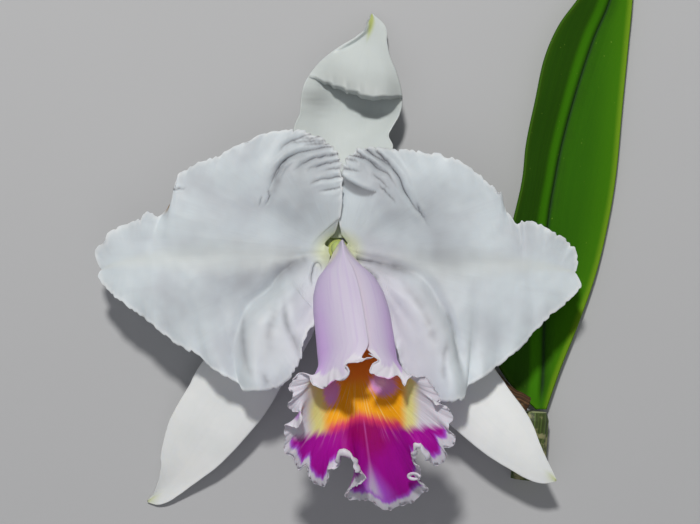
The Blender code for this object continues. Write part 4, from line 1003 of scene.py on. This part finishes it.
def lipMargin():
    form = lipForm
    bounds = [form[key] for key in ("rimStart", "frillStart", "frillEnd", "rimEnd")]
    points, turns = [], []
    for stretch, start, end, count in zip((rimLeft, frill, rimRight), bounds, bounds[1:], form["columns"]):
        share = np.linspace(0, 1, count + 1)
        points.append(curveThrough(stretch, share)[:-1])
        turns.append((start + (end - start) * share)[:-1])
    points.append(np.array(rimRight[-1:], dtype=float))
    turns.append(np.array([form["rimEnd"]]))
    return np.vstack(points), np.radians(np.concatenate(turns))


def flareRows(mouth, forward, calm, margin):
    # from the mouth the wall runs on in a curve and bends out to the margin; the lobes of the margin
    # reach well back into the sheet, its fine waves only a little way
    lobes = evened(margin, lipForm["nearEvening"])
    span = np.linalg.norm(calm - mouth, axis=1)[:, None]
    leave = forward * span
    arrive = (calm - mouth) - np.array([0, 0, lipForm["dip"]]) * span
    rows = []
    for k in range(1, lipForm["flareRows"] + 1):
        w = k / lipForm["flareRows"]
        line = (mouth * (2 * w ** 3 - 3 * w ** 2 + 1) + leave * (w ** 3 - 2 * w ** 2 + w)
                + calm * (3 * w ** 2 - 2 * w ** 3) + arrive * (w ** 3 - w ** 2))
        rows.append(line + (lobes - calm) * w ** np.array([6, 6, 8]) + (margin - lobes) * w ** 9)
    return np.array(rows)


def makeLip():
    form = lipForm
    outline, turn = lipMargin()
    margin, roll = outline[:, :3], outline[:, 3]
    calm = evened(margin, form["evening"])
    shares = np.linspace(0, 1, form["tubeRows"] + 1)
    ring = tubeRing(shares, turn)
    ring[:, :, 2] += form["lap"] * smoothStep(math.radians(120), math.radians(185), -turn)[None, :]
    forward = unit(ring[-1] - ring[-2])
    # which way the sheet runs out at its margin, and which way is up from it
    first = flareRows(ring[-1], forward, calm, margin)
    outward = unit(evened(first[-1] - first[-4], 6))
    up = np.cross(outward, np.gradient(margin, axis=0))
    up *= np.sign(up[:, 2:3] + 1e-6)
    up = unit(evened(unit(up), 8) + np.array([0, 0, 0.25]))
    up = unit(up - outward * np.sum(up * outward, axis=1, keepdims=True))
    run = runAlong(margin)

    def rough(key, row, more):
        return form[key] * softNoise(run / form[key + "Mm"], row, form["seed"] + more)
    tooth = rough("tooth", 3.0, 0)
    flute = rough("flute", 7.0, 1) + rough("crimp", 11.0, 2)
    scallop = rough("scallop", 19.0, 4)
    roll = roll * (1 + rough("rollUneven", 15.0, 3)) * form["rollShare"]
    # the broad rolls of the notches stand where the margin is, the narrow ones within it
    settled = form["settle"] * np.maximum(roll - form["rollNarrow"], 0) - roll
    margin = margin + outward * (scallop + 0.5 * tooth + settled)[:, None]
    w = np.linspace(0, 1, form["flareRows"] + 1)[1:]
    fluted = up[None] * (flute[None, :] * w[:, None] ** 7)[:, :, None]
    rows = flareRows(ring[-1], forward, calm, margin) + fluted
    # the rolled rim: an arc from the margin up and back over the sheet
    bend = np.radians(form["bendLeast"] + form["bendMost"] * smoothStep(*form["bendOver"], roll))
    rolled = []
    for share in np.arange(1, form["rollRows"] + 1) / form["rollRows"]:
        angle = (bend * share)[:, None]
        crimped = (share ** 2 * tooth)[:, None]
        rolled.append(rows[-1] + roll[:, None] * (np.sin(angle) * outward + (1 - np.cos(angle)) * up)
                      + crimped * (np.cos(angle) * outward + 0.6 * up))
    grid = np.concatenate([ring, rows, np.array(rolled)])
    toMargin = runAlong(grid[::-1])[::-1]
    x, y = grid[:, :, 0], grid[:, :, 1]
    centreX, centreY = zones["centre"]
    fanTurn = np.arctan2(x - centreX, centreY - y)
    # the frill is broader at the sides than in front
    toFrill = toMargin - zones["sideFrill"] * smoothStep(0.6, 1.3, np.abs(fanTurn))
    border = y - np.interp(x, *zip(*zones["border"]))
    orange = np.minimum(x - zones["orangeLeft"], (zones["orangeRight"] - x) * 1.3)
    along = np.concatenate([shares, 1 + w, np.full(form["rollRows"], 2.0)])[:, None]
    wall = np.minimum(mounds(x, y, zones["walls"]), 1.0)
    values = {
        "fan": triples(fanTurn, np.hypot(x - centreX, centreY - y), toFrill),
        "zone": triples(border, orange, y - zones["throatAt"]),
        "tube": triples(turn / math.pi, along, 0),
        "wall": triples(wall, mounds(x, y, [zones["sheen"]]), 0)}
    inside, outside = lipInside(), lipOutside()
    piece = thickSheet("lip_blade", grid, thinned(form, toMargin, 5), [inside, outside], values)
    place(piece, "lip")
    makeCurl(inside)


def makeCurl(tissue):
    # a shred of the frill on the right, curled into a little ring
    form = lipForm["curl"]
    angle = np.linspace(0, 2 * math.pi, form["stations"]) * form["turns"]
    wide, long = form["radii"]
    spiral = 1 - 0.12 * angle / angle[-1]
    tilt = form["tilt"] * np.cos(angle) - 0.35 * angle
    line = form["at"] + triples(wide * np.cos(angle) * spiral, long * np.sin(angle) * spiral, tilt)
    size = form["thick"] * (1 - 0.4 * (angle / angle[-1]) ** 3)
    rings = ringsRound(line, size, size * 1.5, (0, 0, 1), np.zeros((form["stations"], form["sides"])))
    nearly = np.zeros(rings.shape)
    far = nearly + np.array([-20.0, -20.0, 5.0])
    piece = thickRod("lip_curl", rings, [tissue], {"fan": nearly, "zone": far, "wall": nearly})
    place(piece, "lip")


makeLip()
print("lip made")

# Stem: ovary and stalk, the sheath and bract round them, the cane, and the column with its pollen

# stalk and ovary are smooth green tissue under a thin waxy skin, paler towards the bloom
stalkFinish = {
    "green": "#6f8f3c", "pale": "#b6c06a", "dark": "#4d6a2a", "streakMm": 0.5, "streakLongMm": 14.0,
    "surface": {"Roughness": 0.45, "IOR": 1.42, "Coat Weight": 0.15, "Coat Roughness": 0.3,
                "Subsurface Weight": 0.15, "Subsurface Radius": (0.6, 1.0, 0.3),
                "Subsurface Scale": metresPerMm},
}

stalkForm = {
    "stations": 220, "sides": 48, "ribs": 6, "ribDeep": 0.16, "ribTwist": 0.9, "rough": 0.05, "seed": 5,
}

stalkSide = (0.61, 0.79, 0.05)
stalkLine = [
    (0, 0, hub["top"]), (0, 0, 21), (-0.6, 0.5, 17.5), (-3.6, 2.8, 13), (-6.6, 5.1, 9),
    (-7.3, 5.6, 5), (-4.4, 3.4, 2.2), (0.5, -0.4, 1.8), (6, -4.6, 2.3), (12.5, -9.5, 3.5),
    (20, -15.2, 5.6), (29, -22.4, 8.6), (38.5, -31, 11.8), (46.3, -39, 12.7), (52.5, -45.4, 12.2),
    (58, -50, 11.2), (61.0, -51.2, 10.7), (62.6, -52.1, 10.4), (63.6, -52.6, 10.2)]
stalkSizes = [
    (0, hub["radius"] - 0.5), (0.012, hub["radius"]), (0.05, hub["radius"]), (0.09, 3.3), (0.17, 2.7),
    (0.25, 2.6), (0.40, 2.3), (0.70, 2.2), (1, 2.2)]


def makeRod(name, node, points, widths, depths, swelling, materials, endSlot=0):
    # a rod that doesn't sink into the floor; its values are mm round it, mm along it and share along it
    share = np.linspace(0, 1, len(swelling))
    line = curveThrough(points, share)
    widths, depths = sizeAlong(widths, share), sizeAlong(depths, share)
    rings = ringsRound(line, widths, depths, stalkSide, swelling)
    rings[:, :, 2] = np.maximum(rings[:, :, 2], 0.0)
    run = runAlong(line)[:, None]
    angle = anglesRound(swelling.shape[1])
    around = widths[:, None] * np.minimum(angle, 2 * math.pi - angle)
    piece = thickRod(name, rings, materials, {"rod": triples(around, run, run / run[-1])}, endSlot)
    place(piece, node)


def speckled(name, finish, surface, colours, kind, scale, detail, shown, relief):
    # one colour with specks of another that stand out of it
    material, tree = startMaterial(name, finish[surface])
    specks = addNode(tree, kind, addNode(tree, "TexCoord").outputs["Object"], scale, detail)
    return finishMaterial(material, finish, colours[0], [(colours[1], (specks, *shown))], (specks, *relief))


def stalkTissue():
    finish = stalkFinish
    material, tree = startMaterial("stalkTissue", finish["surface"])
    rod, _, _, share = readValues(tree, "rod")
    streaks = streaksAlong(tree, rod, 1 / finish["streakMm"], 1 / finish["streakLongMm"])
    layers = [("dark", (streaks, 0.4, 0.7)), ("pale", (share, 0.16, 0))]
    return finishMaterial(material, finish, "green", layers, (streaks, 0.3, 0.15))


def makeStalk():
    form = stalkForm
    share = np.linspace(0, 1, form["stations"])[:, None]
    angle = anglesRound(form["sides"])
    ribs = np.cos(form["ribs"] * (angle + form["ribTwist"] * share * 3)) - 0.6
    ribbed = form["ribDeep"] * smoothStep(0.015, 0.05, share) * smoothStep(0, 0.16, 0.34 - share)
    bumpy = softNoise(share * 40, angle * 1.6, form["seed"]) * form["rough"] * smoothStep(0.01, 0.03, share)
    makeRod("stalk_skin", "flower_stalk", stalkLine, stalkSizes, stalkSizes, ribs * ribbed + bumpy,
            [stalkTissue()])


# the sheath and the bract are dead and papery: dry brown skin with straight veins and no shine
bractFinish = {
    "brown": "#6b4a2e", "pale": "#9a7a52", "dark": "#33200f", "spot": "#24160b",
    "veinMm": 0.55, "veinLongMm": 22.0, "blotchMm": 3.5, "surface": {"Roughness": 0.8, "IOR": 1.45},
}

sheathForm = {
    "node": "sheath", "span": (1.0, 0.62), "rows": 120, "columns": 90,
    "wides": [(0, 2.95), (0.3, 3.6), (0.7, 3.6), (1, 3.2)], "deeps": [(0, 2.95), (1, 3.1)],
    "roll": [(0, 150), (0.7, 150), (0.9, 110), (1, 40)],
    "thick": 0.5, "thinEdge": 0.25, "vein": 0.08, "crumple": 0.14, "ragged": 0.5, "seed": 41,
}
bractForm = {
    "node": "stalk_bract", "span": (0.36, 0.30), "rows": 50, "columns": 60,
    "wides": [(0, 3.2), (1, 3.5)], "deeps": [(0, 3.1), (1, 3.4)],
    "roll": [(0, 100), (0.5, 80), (1, 12)],
    "thick": 0.45, "thinEdge": 0.25, "vein": 0.05, "crumple": 0.08, "ragged": 0.2, "seed": 47,
}


def dryBractSkin(name):
    finish = bractFinish
    material, tree = startMaterial(name, finish["surface"])
    wrap = addNode(tree, "Attribute", attribute_name="wrap").outputs["Vector"]
    here = addNode(tree, "TexCoord").outputs["Object"]
    veins = streaksAlong(tree, wrap, 1 / finish["veinMm"], 1 / finish["veinLongMm"])
    blotch = addNode(tree, "TexNoise", here, perMetre(finish["blotchMm"]), 4.0)
    layers = [
        ("brown", (veins, 0.42, 0.62)),
        ("pale", (blotch, 0.5, 0.72, 0, 0.7)),
        ("spot", (blotch, 0.4, 0.33))]
    return finishMaterial(material, finish, "dark", layers, (veins, 0.6, 0.25))


def makeWrap(form):
    share = np.linspace(0, 1, form["rows"] + 1)
    line = curveThrough(stalkLine, np.linspace(*form["span"], form["rows"] + 1))
    ahead = unit(np.gradient(line, axis=0))
    turn = np.radians(sizeAlong(form["roll"], share))[:, None] * np.linspace(-1, 1, form["columns"] + 1)
    top = unit(np.array([0, 0, 1.0]) - ahead * ahead[:, 2:3])
    out = np.cross(ahead, top)
    wides, deeps = (sizeAlong(form[key], share)[:, None] for key in ("wides", "deeps"))
    grid = beside(line, out, top, np.sin(turn) * wides, np.cos(turn) * deeps)
    run = runAlong(line)[:, None]
    around = turn * wides
    normal = sheetNormals(grid)[0]
    normal *= np.sign(np.sum(normal * unit(grid - line[:, None, :]), axis=2, keepdims=True))
    lift = (form["vein"] * softNoise(around / 0.7, run / 12, form["seed"])
            + form["crumple"] * (0.5 + softNoise(around / 3.0, run / 5, form["seed"] + 1)))
    grid = grid + normal * lift[:, :, None]
    # a torn outline at the open end
    tear = np.abs(form["ragged"] * softNoise(around[-1] / 0.8, 2.0, form["seed"] + 2))
    toEnd = (1 - share[:, None]) * run[-1]
    grid = grid - ahead[-1] * (tear * hump(toEnd, 2.0))[:, :, None]
    nearest = np.minimum(np.minimum(*edgeDistances(grid)), toEnd)
    values = {"wrap": triples(around, run, share[:, None])}
    skin = [dryBractSkin(form["node"] + "DryBract")]
    piece = thickSheet(form["node"] + "_skin", grid, thinned(form, nearest, 1.2), skin, values)
    place(piece, form["node"])


# the cane is a furrowed green stem under a papery skin; its cut end shows pale wet fibres
caneFinish = {
    "green": "#5d7434", "pale": "#a7a377", "dark": "#39451f", "pith": "#c9cfa0", "fibre": "#8c9660",
    "fibreMm": 0.5, "surface": {"Roughness": 0.55, "IOR": 1.42}, "cut": {"Roughness": 0.35, "IOR": 1.36},
}

caneForm = {
    "line": [(66.3, -55.0, 5.9), (64.6, -78.0, 5.9)], "stations": 90, "sides": 96,
    "sizes": [(0, 4.9), (0.12, 5.8), (0.5, 5.9), (1, 5.9)],
    "furrows": 11, "furrowDeep": 0.30, "skin": 0.08, "seed": 63,
}


def caneTissue():
    finish = caneFinish
    material, tree = startMaterial("caneTissue", finish["surface"])
    rod = addNode(tree, "Attribute", attribute_name="rod").outputs["Vector"]
    here = addNode(tree, "TexCoord").outputs["Object"]
    streaks = streaksAlong(tree, rod, 1.6, 0.05)
    blotch = addNode(tree, "TexNoise", here, 260.0, 3.0)
    layers = [("green", (streaks, 0.42, 0.66)), ("pale", (blotch, 0.52, 0.64, 0, 0.75))]
    return finishMaterial(material, finish, "dark", layers, (streaks, 0.5, 0.3))


def makeCane():
    form = caneForm
    share = np.linspace(0, 1, form["stations"])[:, None]
    angle = anglesRound(form["sides"])
    furrow = np.abs(np.sin(form["furrows"] * angle / 2)) ** 0.5 - 1
    rough = softNoise(share * 9, angle * 5.0, form["seed"]) - 1
    swelling = form["furrowDeep"] * furrow * smoothStep(0, 0.2, share) + form["skin"] * rough
    cut = speckled("caneCutPith", caneFinish, "cut", ("pith", "fibre"), "TexVoronoi",
                   perMetre(caneFinish["fibreMm"]), None, (0.32, 0.15), (0.4, 0.1))
    makeRod("cane_skin", "pseudobulb", form["line"], form["sizes"], form["sizes"], swelling,
            [caneTissue(), cut], endSlot=1)


# column, cap and pollen: cream tissue flushed violet at its tip, a matt ivory cap and waxy yellow discs
columnFinish = {
    "cream": "#dfe3b4", "green": "#b9c977", "flush": "#c58bc4",
    "ivory": "#ece4c8", "capFlush": "#cfa3bd", "wax": "#e8b21e", "waxDark": "#b97f0c",
    "surface": {"Roughness": 0.4, "IOR": 1.4, "Subsurface Weight": 0.25,
                "Subsurface Radius": (1.0, 0.9, 0.4), "Subsurface Scale": metresPerMm},
    "cap": {"Roughness": 0.5, "IOR": 1.4}, "pollen": {"Roughness": 0.35, "IOR": 1.44},
}

columnForm = {
    "line": [(0, 0.7, hub["top"] + hub["gap"]), (0.1, 0.2, 28), (1, -5, 31.8), (2.2, -12, 35.5),
             (3.5, -19, 39.2), (4.4, -23.5, 41.8)],
    "widths": [(0, 2.4), (0.12, 1.9), (0.3, 2.3), (0.7, 3.3), (0.92, 4.0), (1, 3.6)],
    "depths": [(0, 2.4), (0.12, 2.1), (0.3, 2.3), (0.7, 2.8), (1, 2.9)],
    "stations": 110, "sides": 56, "hollowDeep": 0.9, "hollowAt": 0.88, "hollowLong": 0.07,
    "capRadius": 2.6, "capWall": 0.6, "capFurrow": 0.06, "capArcs": 14, "capSides": 48,
    "discRadius": 0.75, "discThick": 0.8, "discLayers": 12, "discSides": 28,
}


def columnTissue():
    finish = columnFinish
    material, tree = startMaterial("columnTissue", finish["surface"])
    share = readValues(tree, "rod")[3]
    grain = addNode(tree, "TexNoise", addNode(tree, "TexCoord").outputs["Object"], 2500.0, 1.0)
    layers = [("green", (share, 0.5, 0.05)), ("flush", (share, 0.72, 1, 0, 0.8))]
    return finishMaterial(material, finish, "cream", layers, (grain, 0.2, 0.08))


def makeColumn():
    form = columnForm
    share = np.linspace(0, 1, form["stations"])
    line = curveThrough(form["line"], share)
    angle = anglesRound(form["sides"])
    ahead, side, up = framesAlong(line, stalkSide)
    # the hollow of the stigma, on the face turned to the floor of the tube, near the tip
    facing = side[:, None, 2] * np.cos(angle) + up[:, None, 2] * np.sin(angle)
    near = hump(share - form["hollowAt"], form["hollowLong"])[:, None]
    hollow = -form["hollowDeep"] * np.clip(-facing, 0, 1) ** 2 * near
    makeRod("column_body", "column", form["line"], form["widths"], form["depths"], hollow,
            [columnTissue()])
    return line[-1] + ahead[-1] * hub["gap"], ahead[-1], side[-1], up[-1]


def spokes(side, up, sides):
    # angles round the column's axis, and the unit vectors at them
    angle = 2 * math.pi * np.arange(sides) / sides
    return angle, side * np.cos(angle)[:, None] + up * np.sin(angle)[:, None]


def makeCap(base, ahead, side, up):
    # a small dome, open towards the column
    form = columnForm
    outer, inner = form["capRadius"], form["capRadius"] - form["capWall"]
    sweep = np.linspace(0.98, 0, form["capArcs"]) * math.pi / 2
    outline = [(outer * math.cos(a), outer * 0.95 * math.sin(a)) for a in sweep]
    outline += [(inner * math.cos(a), inner * 0.9 * math.sin(a)) for a in sweep[::-1]]
    angle, around = spokes(side, up, form["capSides"])
    rings = []
    for radius, height in outline:
        # a furrow down the middle of the cap
        furrow = 1 - form["capFurrow"] * hump(np.cos(angle), 0.25) * math.sqrt(max(height, 0) / outer)
        rings.append(base + ahead * height + around * (radius * furrow)[:, None])
    ends = [base + ahead * outline[k][1] * share for k, share in ((0, 1.002), (-1, 0.998))]
    tissue = speckled("antherCapTissue", columnFinish, "cap", ("ivory", "capFlush"), "TexNoise", 700.0, 3.0,
                      (0.45, 0.7), (0.2, 0.1))
    place(closedSkin("cap_dome", np.array(rings), ends, [tissue]), "anther_cap")


def makePollen(base, ahead, side, up):
    # four flattened discs of pollen, two and two
    form = columnForm
    sides, reach = form["discSides"], form["discRadius"] * 0.9
    around = spokes(side, up, sides)[1]
    rings, faces = [], []
    for across, along in ((-1, -1), (1, -1), (-1, 1), (1, 1)):
        middle = base + side * across * reach + up * along * reach
        index, _, quads = facesBetween(form["discLayers"] + 1, sides, len(rings) * sides)
        faces += quads + [index[0, ::-1].tolist(), index[-1].tolist()]
        for lean in np.linspace(0, math.pi, form["discLayers"] + 1):
            height = form["discThick"] * (0.5 - 0.5 * math.cos(lean))
            radius = form["discRadius"] * max(math.sin(lean), 0.001) ** 0.5
            rings.append(middle + ahead * height + around * radius)
    wax = speckled("pollenWax", columnFinish, "pollen", ("wax", "waxDark"), "TexNoise", 6000.0, 2.0,
                   (0.55, 0.75), (0.25, 0.04))
    place(addMesh("pollen_discs", np.concatenate(rings), faces, [wax]), "pollinia")


makeStalk()
makeWrap(sheathForm)
makeWrap(bractForm)
makeCane()
columnEnd = makeColumn()
makeCap(*columnEnd)
makePollen(*columnEnd)
print("stem and column made")

# Leaf

# a cattleya leaf is thick and leathery with a clear waxy skin, so the eye sees a deep green with a
# soft shine, lighter where light comes through the thin margin
leafFinish = {
    "dark": "#2c560a", "mid": "#2f6402", "bright": "#427c02", "margin": "#86aa24", "rib": "#263a2a",
    "ribBeside": "#458a06", "foot": "#3c7808", "speck": "#86a83c",
    "under": "#5d8038", "underDark": "#4b6b2c",
    "lineMm": 0.9, "lineLongMm": 45.0, "blotchMm": 7.0, "speckMm": 2.6,
    "surface": {"Roughness": 0.78, "IOR": 1.36, "Specular IOR Level": 0.2, "Subsurface Weight": 0.08,
                "Subsurface Radius": (0.4, 1.0, 0.1), "Subsurface Scale": metresPerMm},
}

leafForm = {
    "rows": 230, "columns": 84, "fold": 0.7, "sway": 0.7, "sways": 13, "thick": 1.6, "thinEdge": 0.9,
    "channelDeep": 0.45, "channelWide": 1.0, "shoulder": 0.2, "shoulderAt": 2.2, "shoulderWide": 1.2,
    "line": 0.03, "dent": 0.22, "seed": 71,
}

leafLeft = [
    (67.8, -54.3, 4.4), (60.5, -47.5, 5.6), (55, -40, 7.4), (52, -30.5, 10), (53.5, -17, 12),
    (56.5, -1.5, 12.5), (62, 21.5, 13), (63.7, 36, 13), (66.7, 50.5, 13), (69.8, 64.5, 12.5),
    (74.5, 75.5, 12), (81, 84.5, 11), (89, 95, 9.5), (97.5, 106, 7)]
leafKeel = [
    (69.4, -54.4, 3.4), (70.3, -40, 1.6), (70.5, -28.5, 0.9), (71.5, 5.5, 0.85), (74.5, 26, 0.85),
    (77.5, 40, 0.85), (82, 56, 0.9), (87.5, 72.5, 1.2), (93, 86, 2.4), (97.5, 106, 7)]
leafRight = [
    (70.9, -54.3, 4.8), (76, -40, 4.2), (82.5, -24, 4), (88.5, -7, 4), (92.5, 10, 4),
    (95, 26, 4), (97, 48, 4), (99, 68.5, 4.5), (100.5, 85.5, 5), (100.5, 96, 5.8), (97.5, 106, 7)]


def leafTissue(name, upper):
    finish = leafFinish
    material, tree = startMaterial(name, finish["surface"])
    leaf, across, along, margin = readValues(tree, "leaf")
    here = addNode(tree, "TexCoord").outputs["Object"]
    lines = streaksAlong(tree, leaf, 1 / finish["lineMm"], 1 / finish["lineLongMm"])
    layers = [("underDark", (lines, 0.38, 0.66))]
    if upper:
        blotch = addNode(tree, "TexNoise", here, perMetre(finish["blotchMm"]), 4.0)
        specks = addNode(tree, "TexVoronoi", here, perMetre(finish["speckMm"]))
        uneven = addNode(tree, "Math", blotch, 10.0, across, **timesPlus)
        offBand = addNode(tree, "Math", across, 3.6, operation="ADD")
        offBand, offRib = (addNode(tree, "Math", value, **unsigned) for value in (offBand, across))
        layers = [
            # the left half is darker; the right half brightens towards its margin
            ("mid", (uneven, 2, 10)),
            ("bright", (margin, 12, 1, 0, 0.75), (across, 1, 5)),
            ("bright", (lines, 0.38, 0.66, 0, 0.08)),
            # the middle channel is dark, with a brighter band on its left
            ("ribBeside", (offBand, 3.2, 0.8, 0, 0.7)),
            ("rib", (offRib, 1.5, 0.2, 0, 0.7)),
            # pale specks of worn wax
            ("speck", (specks, 0.1, 0.05), (blotch, 0.47, 0.6, 0, 0.6)),
            # the foot's own green, painted lighter as light where the petal's shadow falls
            ("foot", (along, 9, 1, 0, 0.8))]
    # the thin margin glows on the right side only
    layers.append(("margin", (margin, 2.4, 0.3, 0, 0.55), (across, 0, 4, 0.12, 1)))
    return finishMaterial(material, finish, "dark" if upper else "under", layers, (lines, 0.2, 0.2))


def makeLeaf():
    form = leafForm
    along = np.linspace(0, 1, form["rows"] + 1)
    across = np.linspace(-1, 1, form["columns"] + 1)
    across = np.sign(across) * np.abs(across) ** 1.15
    grid = bladeGrid(leafLeft, leafKeel, leafRight, along, across, form["fold"])
    z = grid[:, :, 2]
    u = along[:, None]
    z += form["sway"] * across ** 2 * np.sin(u * form["sways"]) * np.sin(math.pi * u)
    fromLeft, fromRight = edgeDistances(grid)
    margin = np.minimum(fromLeft, fromRight)
    middle = len(across) // 2
    offKeel = fromLeft - fromLeft[:, middle:middle + 1]
    run = runAlong(grid[:, middle])[:, None]
    inside = smoothStep(0, 4, margin) * smoothStep(0, 0.05, u) * smoothStep(0, 0.05, 1 - u)
    z += inside * (form["line"] * softNoise(offKeel / 1.6, run / 60, form["seed"])
                   + form["dent"] * softNoise(offKeel / 9, run / 16, form["seed"] + 1)
                   * smoothStep(1.5, 6, np.abs(offKeel)))
    # the channel is pressed into the upper face only
    channel = form["channelDeep"] * hump(offKeel, form["channelWide"]) * inside
    shoulder = form["shoulder"] * hump(np.abs(offKeel) - form["shoulderAt"], form["shoulderWide"]) * inside
    z -= (channel - shoulder) * 0.5
    tissues = [leafTissue("leafTissueUpper", True), leafTissue("leafTissueUnder", False)]
    thickness = thinned(form, margin, 7) - channel + shoulder
    piece = thickSheet("leaf_blade", grid, thickness, tissues, {"leaf": triples(offKeel, run, margin)})
    place(piece, "leaf")


makeLeaf()
print("leaf made")

# Floor, light and camera

studio = {
    "floorWide": 4.0, "floor": "#b9babd", "mottle": "#bcbdc0", "room": "#dcdddf", "roomLight": 0.22,
    "keyLamp": {"tilt": 30.0, "turn": -8.0, "away": 1.1, "wide": 0.11, "watts": 8.6, "tint": "#fffdf8"},
    "fillLamp": {"tilt": 20.0, "turn": 200.0, "away": 1.3, "wide": 1.4, "watts": 2.2, "tint": "#f8f9fd"},
    "lens": 100.0, "sensor": 36.0, "camera": (3.96, -3.96, 669.7),
}


def makeFloor():
    # matt painted board: pale and plain, with the faintest mottle
    material, tree = startMaterial("paintedBoard", {"Roughness": 0.75, "IOR": 1.46})
    mottle = addNode(tree, "TexNoise", addNode(tree, "TexCoord").outputs["Object"], 9.0, 3.0)
    finishMaterial(material, studio, "floor", [("mottle", mottle)])
    half = studio["floorWide"] / 2 / metresPerMm
    corners = np.array([(-half, -half, 0), (half, -half, 0), (half, half, 0), (-half, half, 0)], dtype=float)
    floor = addMesh("floor", corners, [[0, 1, 2, 3]], [material])


def addLamp(name):
    # an area lamp that looks at the bloom from tilt degrees off the vertical, turned from +Y
    form = studio[name]
    lamp = bpy.data.lights.new(name, "AREA")
    lamp.shape = "DISK"
    lamp.size = form["wide"]
    lamp.energy = form["watts"]
    lamp.color = linearColour(form["tint"])[:3]
    item = bpy.data.objects.new(name, lamp)
    bpy.context.scene.collection.objects.link(item)
    lean, swing = math.radians(form["tilt"]), math.radians(form["turn"])
    aside = form["away"] * math.sin(lean)
    item.location = (aside * math.sin(swing), aside * math.cos(swing), form["away"] * math.cos(lean) + 0.03)
    item.rotation_euler = (-lean, 0, -swing)


def makeStudio():
    makeFloor()
    addLamp("keyLamp")
    addLamp("fillLamp")
    world = bpy.data.worlds.new("room")
    bpy.context.scene.world = world
    world.use_nodes = True
    background = world.node_tree.nodes["Background"]
    background.inputs["Color"].default_value = linearColour(studio["room"])
    background.inputs["Strength"].default_value = studio["roomLight"]
    lens = bpy.data.cameras.new("photoCamera")
    lens.lens = studio["lens"]
    lens.sensor_width = studio["sensor"]
    lens.clip_start = 0.01
    camera = bpy.data.objects.new("photoCamera", lens)
    camera.location = [v * metresPerMm for v in studio["camera"]]
    bpy.context.scene.collection.objects.link(camera)
    bpy.context.scene.camera = camera
    bpy.context.scene.view_settings.view_transform = "Standard"


makeStudio()
print("studio made")
